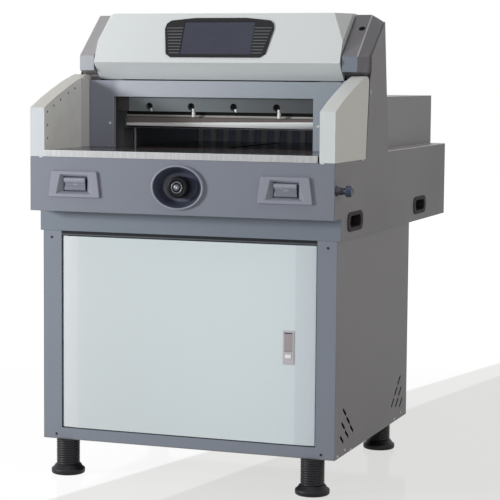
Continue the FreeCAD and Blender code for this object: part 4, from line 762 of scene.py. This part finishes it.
def makeDial():  # heights count forward from the panel; the bore round the shaft stays a circle
    high, bore, stretch = dial["high"], dial["bore"], dial["wide"] / dial["high"]
    bm = bmesh.new()
    lathe(bm, [(high - 3.4, -24.5), (high - 3.4, -0.2), (high, -0.2), (high, 4.6), (high - 0.5, 6.4),
               (high - 1.6, 7.6), (high - 2.6, 8.0), (high - 3.8, 7.6), (high - 4.8, 6.4), (high - 5.4, 4.6),
               (high - 7.5, -1), (high - 12, -12), (high - 16, -18), (high - 18, -20.6), (high - 20.5, -21.6),
               (20, -21.7), (bore, -21.6), (bore, -24.5)],
          (0, 0, dial["level"]), (0, -1, 0), dial["steps"], stretch, True)
    for vert in bm.verts:
        if fromDial(vert.co, stretch) < bore + 0.4:
            vert.co.x /= stretch
    for face in bm.faces:
        centre = face.calc_center_median()
        inside = fromDial(centre, stretch) < high - dial["lip"] and place(centre).y < dial["lipBehind"]
        face.material_index = 1 if inside else 0
    settle(bm, "dialBowl", ["bezelGrey", "bowlDark"], "frame", ["dial_bowl"])


def makeWheel():
    bm = bmesh.new()
    radius, front, rear, bore = wheel["radius"], wheel["front"], wheel["rear"], wheel["bore"]
    lathe(bm, [(15.2, front - 1.6), (17, front - 0.4), (22.5, front), (25, front - 0.5), (26.4, front - 1.6),
               (radius, front - 3.4), (radius, rear + 2), (radius - 1, rear + 0.6), (radius - 3, rear),
               (bore, rear), (bore, rear - 2.5)], (0, 0, dial["level"]), (0, -1, 0), wheel["flutes"] * 6)
    for vert in bm.verts:  # finger flutes round the grip
        at = place(vert.co)
        across, up = at.x, at.z - dial["level"]
        if math.hypot(across, up) > radius - 1.2:
            dip = max(0.0, math.cos(math.atan2(up, across) * wheel["flutes"])) * wheel["flute"] / radius
            vert.co.x = across * (1 - dip) / 1000
            vert.co.z = (dial["level"] + up * (1 - dip)) / 1000
    settle(bm, "handWheel", "wheelBlack", "gauge_spindle", ["hand_wheel"])


def makeCap():  # a stepped steel cap with a black groove
    bm = bmesh.new()
    lathe(bm, [(15.4, 4.4), (15.4, 7.2), (14.6, 8.4), (13.2, 8.9), (12.0, 8.4), (11.0, 7.4), (9.8, 7.2),
               (8.8, 7.8), (7.6, 9.0), (5.5, 9.8), (2.5, 10.0)], (0, 0, dial["level"]), (0, -1, 0), 48)
    for face in bm.faces:
        out = fromDial(face.calc_center_median())
        inGroove = cap["groove"][0] < out < cap["groove"][1]
        face.material_index = 1 if inGroove else 2 if out < cap["glint"] else 0
    settle(bm, "wheelCap", ["capSteel", "wheelBlack", "capBright"], "gauge_spindle",
           ["wheel_cap"])


makeDial()
makeWheel()
makeCap()

# cut buttons
bezel = {"side": 277, "level": 749, "body": (59.6, 28.6), "top": 62, "low": 70.5, "high": 33, "proud": 6,
         "mouth": (38, 49, 24.5), "pocket": (30.6, 31.6, 17.8), "shelf": 6.0, "floor": 10.4, "behind": 14,
         "corner": 3.5, "rim": 1.1}
paddle = {"half": 29, "round": 2.2, "stem": 6, "stemBack": 22,
          "section": [(5.2, -16.4), (3.0, -16.4), (1.4, -15.4), (0.8, -13), (1.6, -9), (3.0, -5), (4.2, -1.5),
                      (4.2, 0.6), (-1.6, 5.6), (-3.4, 7.6), (-4.3, 10), (-4.1, 12.4), (-2.8, 14.8),
                      (-0.4, 16.4), (5.2, 16.8)]}


def frameLoop(top, low, high, y):
    return [(bezel["side"] + across, y, bezel["level"] + up)
            for across, up in ((-low, -high), (low, -high), (top, high), (-top, high))]


def makeBezels():
    bm = bmesh.new()
    half, tall = bezel["body"]
    proud = -bezel["proud"]
    top, low, high = bezel["top"], bezel["low"], bezel["high"]
    loft(bm, [frameLoop(half, half, tall, bezel["behind"]), frameLoop(half, half, tall, 0.1),
              frameLoop(top, low, high, 0.1), frameLoop(top - 1.0, low - 1.0, high - 1.0, proud),
              frameLoop(*bezel["mouth"], proud), frameLoop(*bezel["pocket"], bezel["shelf"]),
              frameLoop(*bezel["pocket"], bezel["floor"])])
    turned(bm)
    # the pocket behind the shelf is painted dark as shade round the paddle
    for face in bm.faces:
        face.material_index = 1 if place(face.calc_center_median()).y > bezel["shelf"] + 0.2 else 0
    outer = [edge for edge in sharpEdges(bm, 20) if runs(edge, "y") and middle(edge).y < 0.1
             and abs(middle(edge).z - bezel["level"]) > high - 3]
    smoothEdges(bm, outer, bezel["corner"], 5)
    inner = [edge for edge in sharpEdges(bm, 20) if runs(edge, "y") and middle(edge).y > 0.1
             and abs(middle(edge).x - bezel["side"]) < 40]
    smoothEdges(bm, inner, bezel["corner"], 4)
    rims = sharpEdges(bm, 35, lambda edge: middle(edge).y < 2 and not runs(edge, "y"))
    smoothEdges(bm, rims, bezel["rim"], 3)
    mirrorCopy(bm)
    settle(bm, "buttonBezels", ["bezelGrey", "pocketDark"], "frame",
           ["button_bezels"], even=True)


def makeButton(name, sign):  # a paddle with a ridge above and a finger hollow below
    bm = bmesh.new()
    slab(bm, [(bezel["side"] - paddle["half"], y, bezel["level"] + up) for y, up in paddle["section"]],
         (2 * paddle["half"], 0, 0))
    turned(bm)
    for face in bm.faces:
        at = place(face.calc_center_median())
        face.material_index = 1 if face.normal.y < -0.2 and at.z < bezel["level"] + 1 else 0
    ends = sharpEdges(bm, 60, lambda edge: abs(abs(middle(edge).x - bezel["side"]) - paddle["half"]) < 0.1)
    smoothEdges(bm, ends, paddle["round"], 4)
    stem = paddle["stem"]
    lathe(bm, [(stem, -4), (stem, -paddle["stemBack"])], (bezel["side"], 0, bezel["level"]), (0, -1, 0), 24)
    if sign < 0:
        flipSide(bm)
    node = "cut_button_" + name
    settle(bm, "paddle_" + name, ["buttonFace", "buttonShade"], nodeBody[node], [node],
           even=True)


makeBezels()
makeButton("left", -1)
makeButton("right", 1)

# turning knob on the side
knob = {"x": 400, "y": 17, "z": 750, "flutes": 18, "flutedFrom": 13.2, "flute": 0.05}


def makeKnob():  # a neck in steps, and a fluted cap
    at = (knob["x"], knob["y"], knob["z"])
    bm = bmesh.new()
    lathe(bm, [(5, -16), (5, 0.3), (12, 0.3), (12, 3.8), (11, 5), (9.8, 5.2), (9.2, 7), (9.2, 14), (7.8, 15),
               (7.8, 22), (8.4, 24)], at, (1, 0, 0), 40)
    lathe(bm, [(11.5, 23.6), (13.0, 24.6), (13.5, 26.2), (13.5, 35.4), (12.6, 37.4), (10.8, 38.6), (9.6, 39),
               (8.6, 38.2)], at, (1, 0, 0), knob["flutes"] * 6, tone=1)
    for vert in bm.verts:
        point = place(vert.co)
        up, across = point.z - knob["z"], point.y - knob["y"]
        if math.hypot(up, across) > knob["flutedFrom"]:
            dip = max(0.0, math.cos(math.atan2(up, across) * knob["flutes"])) * knob["flute"]
            vert.co.z = (knob["z"] + up * (1 - dip)) / 1000
            vert.co.y = (knob["y"] - depthShift + across * (1 - dip)) / 1000
    settle(bm, "turningKnob", ["knobSteel", "knobDark"], "turning_knob", ["side_knob"])


makeKnob()
print("controls made")

# side grips
grip = {"centres": (175, 807), "level": 668, "rim": (66, 24), "body": (61.6, 19.6), "mouth": (46, 14.5),
        "floor": (43, 12.5), "behind": 373, "side": 400, "proud": 402, "deep": 377, "round": 18.5}


def makeGrips():  # a rounded outline pushed in steps through the side sheet to the cup's floor
    bm = bmesh.new()
    steps = [("body", "side"), ("rim", "side"), ("rim", "proud"), ("mouth", "proud"), ("floor", "deep")]
    for centre in grip["centres"]:
        own = bmesh.new()
        long, high = grip["body"]
        face = own.faces.new([own.verts.new(spot(grip["behind"], centre + across, grip["level"] + up))
                              for across, up in ((-long, -high), (long, -high), (long, high), (-long, high))])
        bmesh.ops.bevel(own, geom=face.verts[:], offset=grip["round"] / 1000, offset_type="OFFSET",
                        segments=6, profile=0.5, affect="VERTICES", material=-1, clamp_overlap=True)
        own.faces.ensure_lookup_table()
        face, size = own.faces[0], grip["body"]
        for shape, depth in steps:
            face = pushed(own, face)
            centrePoint = face.calc_center_median()
            stretch = Vector((1, grip[shape][0] / size[0], grip[shape][1] / size[1]))
            for vert in face.verts:
                vert.co = centrePoint + (vert.co - centrePoint) * stretch
                vert.co.x = grip[depth] / 1000
            size = grip[shape]
        turned(own)
        for item in own.faces:
            item.material_index = 1 if place(item.calc_center_median()).x < grip["side"] - 0.5 else 0
        smoothEdges(own, sharpEdges(own, 50, lambda edge: middle(edge).x > grip["proud"] - 1), 0.9, 3)
        pour(own, bm)
    mirrorCopy(bm)
    settle(bm, "gripCups", ["gripRim", "gripBlack"], "frame", ["grip_cups"], even=True)


makeGrips()

# screws, pivots and clips
screws = {
    "white": [((x, 235, 896), (0, -1, 0), 3.6) for x in (-286, 283)]
             + [((sign * 391.5, y, z), (sign, 0, 0), 3.4) for sign in (-1, 1)
                for y, z in ((139, 102), (190, 93.5), (78, 97), (667, 105), (604, 97))],
    "dark": [((sign * x, 57, z), (0, -1, 0), 3.2) for sign in (-1, 1) for x, z in ((368, 609), (356, 102.5))],
    "pivot": [((sign * 400, 295.5, 983), (sign, 0, 0), 6.5) for sign in (-1, 1)],
}
for tone, material in (("white", "screwWhite"), ("dark", "screwDark"), ("pivot", "pivotSteel")):
    heads = bmesh.new()
    for centre, axis, radius in screws[tone]:
        screw(heads, centre, axis, radius)
    settle(heads, tone + "Screws", material, "frame")

# the light curtains' lenses sit in the guards' inner faces
lens = {"places": ((222, 994.5), (180, 985.5), (140.5, 974), (95, 957.5), (56, 942.5), (19.5, 928),
                   (19.3, 894.6), (19.1, 861.8)), "radius": 3.4, "inner": 361}
lenses = bmesh.new()
for y, z in lens["places"]:
    lathe(lenses, [(1.6, 0.3), (2.5, -0.1), (2.8, -0.15), (3.1, 0.3), (lens["radius"], 0.25),
                   (lens["radius"] + 0.2, -0.4)], (lens["inner"], y, z), (-1, 0, 0), 20)
mirrorCopy(lenses)
settle(lenses, "curtainLenses", "lensDark", "frame")

flange = {"wall": -361, "inner": -344.5, "front": 219, "bend": 233.4, "back": 235, "low": 833.4, "high": 1011,
          "round": 11}
clip = {"front": (364.5, 374), "side": (231, 239), "low": 813.8, "high": 816.4, "bodySide": 400}


def makeFlanges():  # the guard's angled return that closes the slot beside the fascia
    bm = bmesh.new()
    section = [(flange["wall"], flange["front"]), (flange["inner"], flange["bend"]),
               (flange["inner"], flange["back"]), (flange["wall"], flange["back"])]
    slab(bm, [(x, y, flange["low"]) for x, y in section], (0, 0, flange["high"] - flange["low"]))
    turned(bm)
    corner = [edge for edge in sharpEdges(bm, 40) if middle(edge).z > flange["high"] - 1
              and middle(edge).x > flange["inner"] - 0.5]
    smoothEdges(bm, corner, flange["round"], 6)
    smoothEdges(bm, sharpEdges(bm, 40), 0.25, 2)
    other = bm.copy()
    flipSide(other)
    # the left flange's grey is the guard's white darkened as painted shade; the right one takes the fascia's
    # painted light and shade
    settle(bm, "guardFlange_left", "flangeGrey", "frame", sharp=40, even=True)
    settle(other, "guardFlange_right", "fasciaGrey", "frame", sharp=40, even=True)


def rectangle(left, right, low, high):  # the corners of a flat outline
    return (left, low), (right, low), (right, high), (left, high)


def makeClips():  # spring clips at the guards' feet, one in front and one on the side
    bm = bmesh.new()
    low, high, side = clip["low"], clip["high"], clip["bodySide"]
    left, right = clip["front"]
    root, tip = rectangle(left, right, low, high), rectangle(left + 1, right - 1, low + 1, high - 1)
    loft(bm, [[(x, y, z) for x, z in shape] for y, shape in ((0.2, root), (-0.8, root), (-1.6, tip))])
    front, back = clip["side"]
    root, tip = rectangle(front, back, low, high + 1.5), rectangle(front + 1, back - 1, low + 1, high + 0.6)
    loft(bm, [[(side + out, y, z) for y, z in shape]
              for out, shape in ((-0.2, root), (0.8, root), (1.4, tip))])
    turned(bm)
    mirrorCopy(bm)
    settle(bm, "guardClips", "guardWhite", "frame", sharp=40)


makeFlanges()
makeClips()
print("fittings made")

# floor, lights and camera
studio = {"floorHalf": 14.0, "colour": (0.72, 0.72, 0.705), "gloss": 0.07, "glow": 1.05,
          "slopes": (0.2273, 0.1769), "starts": (-0.108, 0.096), "fade": 0.022, "white": (1, 1, 1),
          "tones": (0.825, 0.728), "share": 0.13, "clear": (1.3, 2.6), "world": 0.1}


# the floor glows in two slanting bands of grey; near the machine a small share of it takes light instead
def makeFloor():
    bm = bmesh.new()
    bmesh.ops.create_grid(bm, x_segments=1, y_segments=1, size=studio["floorHalf"])
    mesh = bpy.data.meshes.new("studioFloor")
    bm.to_mesh(mesh)
    bm.free()
    floor = bpy.data.objects.new("studioFloor", mesh)
    bpy.context.scene.collection.objects.link(floor)
    paint = Paint("studioFloor", studio["colour"], studio["gloss"], Specular_IOR_Level=0.5)
    across, deep = paint.axis("X"), paint.axis("Y")
    bands = [(across - deep * slope - start).above(0.0, studio["fade"])
             for slope, start in zip(studio["slopes"], studio["starts"])]
    near, far = ((tone, tone, tone * 0.99) for tone in studio["tones"])
    tone = paint.blend(bands[1], paint.blend(bands[0], studio["white"], near), far)
    reach = deep * deep + across * across
    near2, far2 = (radius ** 2 for radius in studio["clear"])
    solid = studio["share"] * (1 - reach.above((near2 + far2) / 2, far2 - near2))
    glow = paint.add("Emission", None, {"Color": tone, "Strength": studio["glow"]})
    mixed = paint.add("MixShader", None, {0: paint.backdropRays() * (1 - solid), 1: paint.body, 2: glow})
    paint.tree.links.new(mixed.socket, paint.out.inputs[0])
    mesh.materials.append(paint.material)


def makeWorld():
    world = bpy.data.worlds.new("studio")
    bpy.context.scene.world = world
    sky = Sheet(world)
    soft, plain = (sky.add("Background", None, {0: (1, 1, 1, 1), 1: level})
                   for level in (studio["world"], 1.0))
    sky.add("OutputWorld", None, {0: sky.add("MixShader", None, {0: sky.backdropRays(), 1: soft, 2: plain})})


lamps = {
    "keyLeft": {"at": (-2.7, -2.26, 1.25), "size": 0.6, "power": 95, "colour": (0.98, 0.99, 1.0)},
    "fillRight": {"at": (3.4, -1.7, 1.9), "size": 1.8, "power": 23, "colour": (1.0, 0.955, 0.91)},
    "front": {"at": (1.2, -4.0, 1.1), "size": 0.8, "power": 10, "colour": (0.97, 0.99, 1.0)},
    "overhead": {"at": (0.0, -0.9, 4.0), "size": 2.6, "power": 30, "colour": (1.0, 1.0, 1.0)},
}


def makeLamps():
    target = Vector((0, -0.2, 0.65))
    for name, entry in lamps.items():
        light = bpy.data.lights.new(name, "AREA")
        light.shape, light.size = "SQUARE", entry["size"]
        light.energy, light.color = entry["power"], entry["colour"]
        lamp = bpy.data.objects.new(name, light)
        bpy.context.scene.collection.objects.link(lamp)
        lamp.location = entry["at"]
        lamp.rotation_euler = (target - lamp.location).to_track_quat("-Z", "Y").to_euler()


camera = {"at": (1.6577, -4.4756, 1.0189), "yaw": 19.707, "pitch": -5.456, "roll": 0.468, "lens": 130.55,
          "sensor": 36.0}


def makeCamera():
    yaw, pitch, roll = (math.radians(camera[name]) for name in ("yaw", "pitch", "roll"))
    ahead = Vector((-math.sin(yaw) * math.cos(pitch), math.cos(yaw) * math.cos(pitch), math.sin(pitch)))
    right = Vector((math.cos(yaw), math.sin(yaw), 0))
    up = right.cross(ahead)
    rolledRight = math.cos(roll) * right + math.sin(roll) * up
    rolledUp = math.cos(roll) * up - math.sin(roll) * right
    data = bpy.data.cameras.new("viewpoint")
    data.sensor_width, data.lens, data.sensor_fit = camera["sensor"], camera["lens"], "HORIZONTAL"
    data.clip_start, data.clip_end = 0.1, 100.0
    turn = Matrix((rolledRight, rolledUp, -ahead)).transposed().to_4x4()
    eye = bpy.data.objects.new("viewpoint", data)
    bpy.context.scene.collection.objects.link(eye)
    eye.matrix_world = Matrix.Translation(camera["at"]) @ turn
    bpy.context.scene.camera = eye


makeFloor()
makeWorld()
makeLamps()
makeCamera()
bpy.context.scene.view_settings.view_transform = "Standard"
print("studio made")
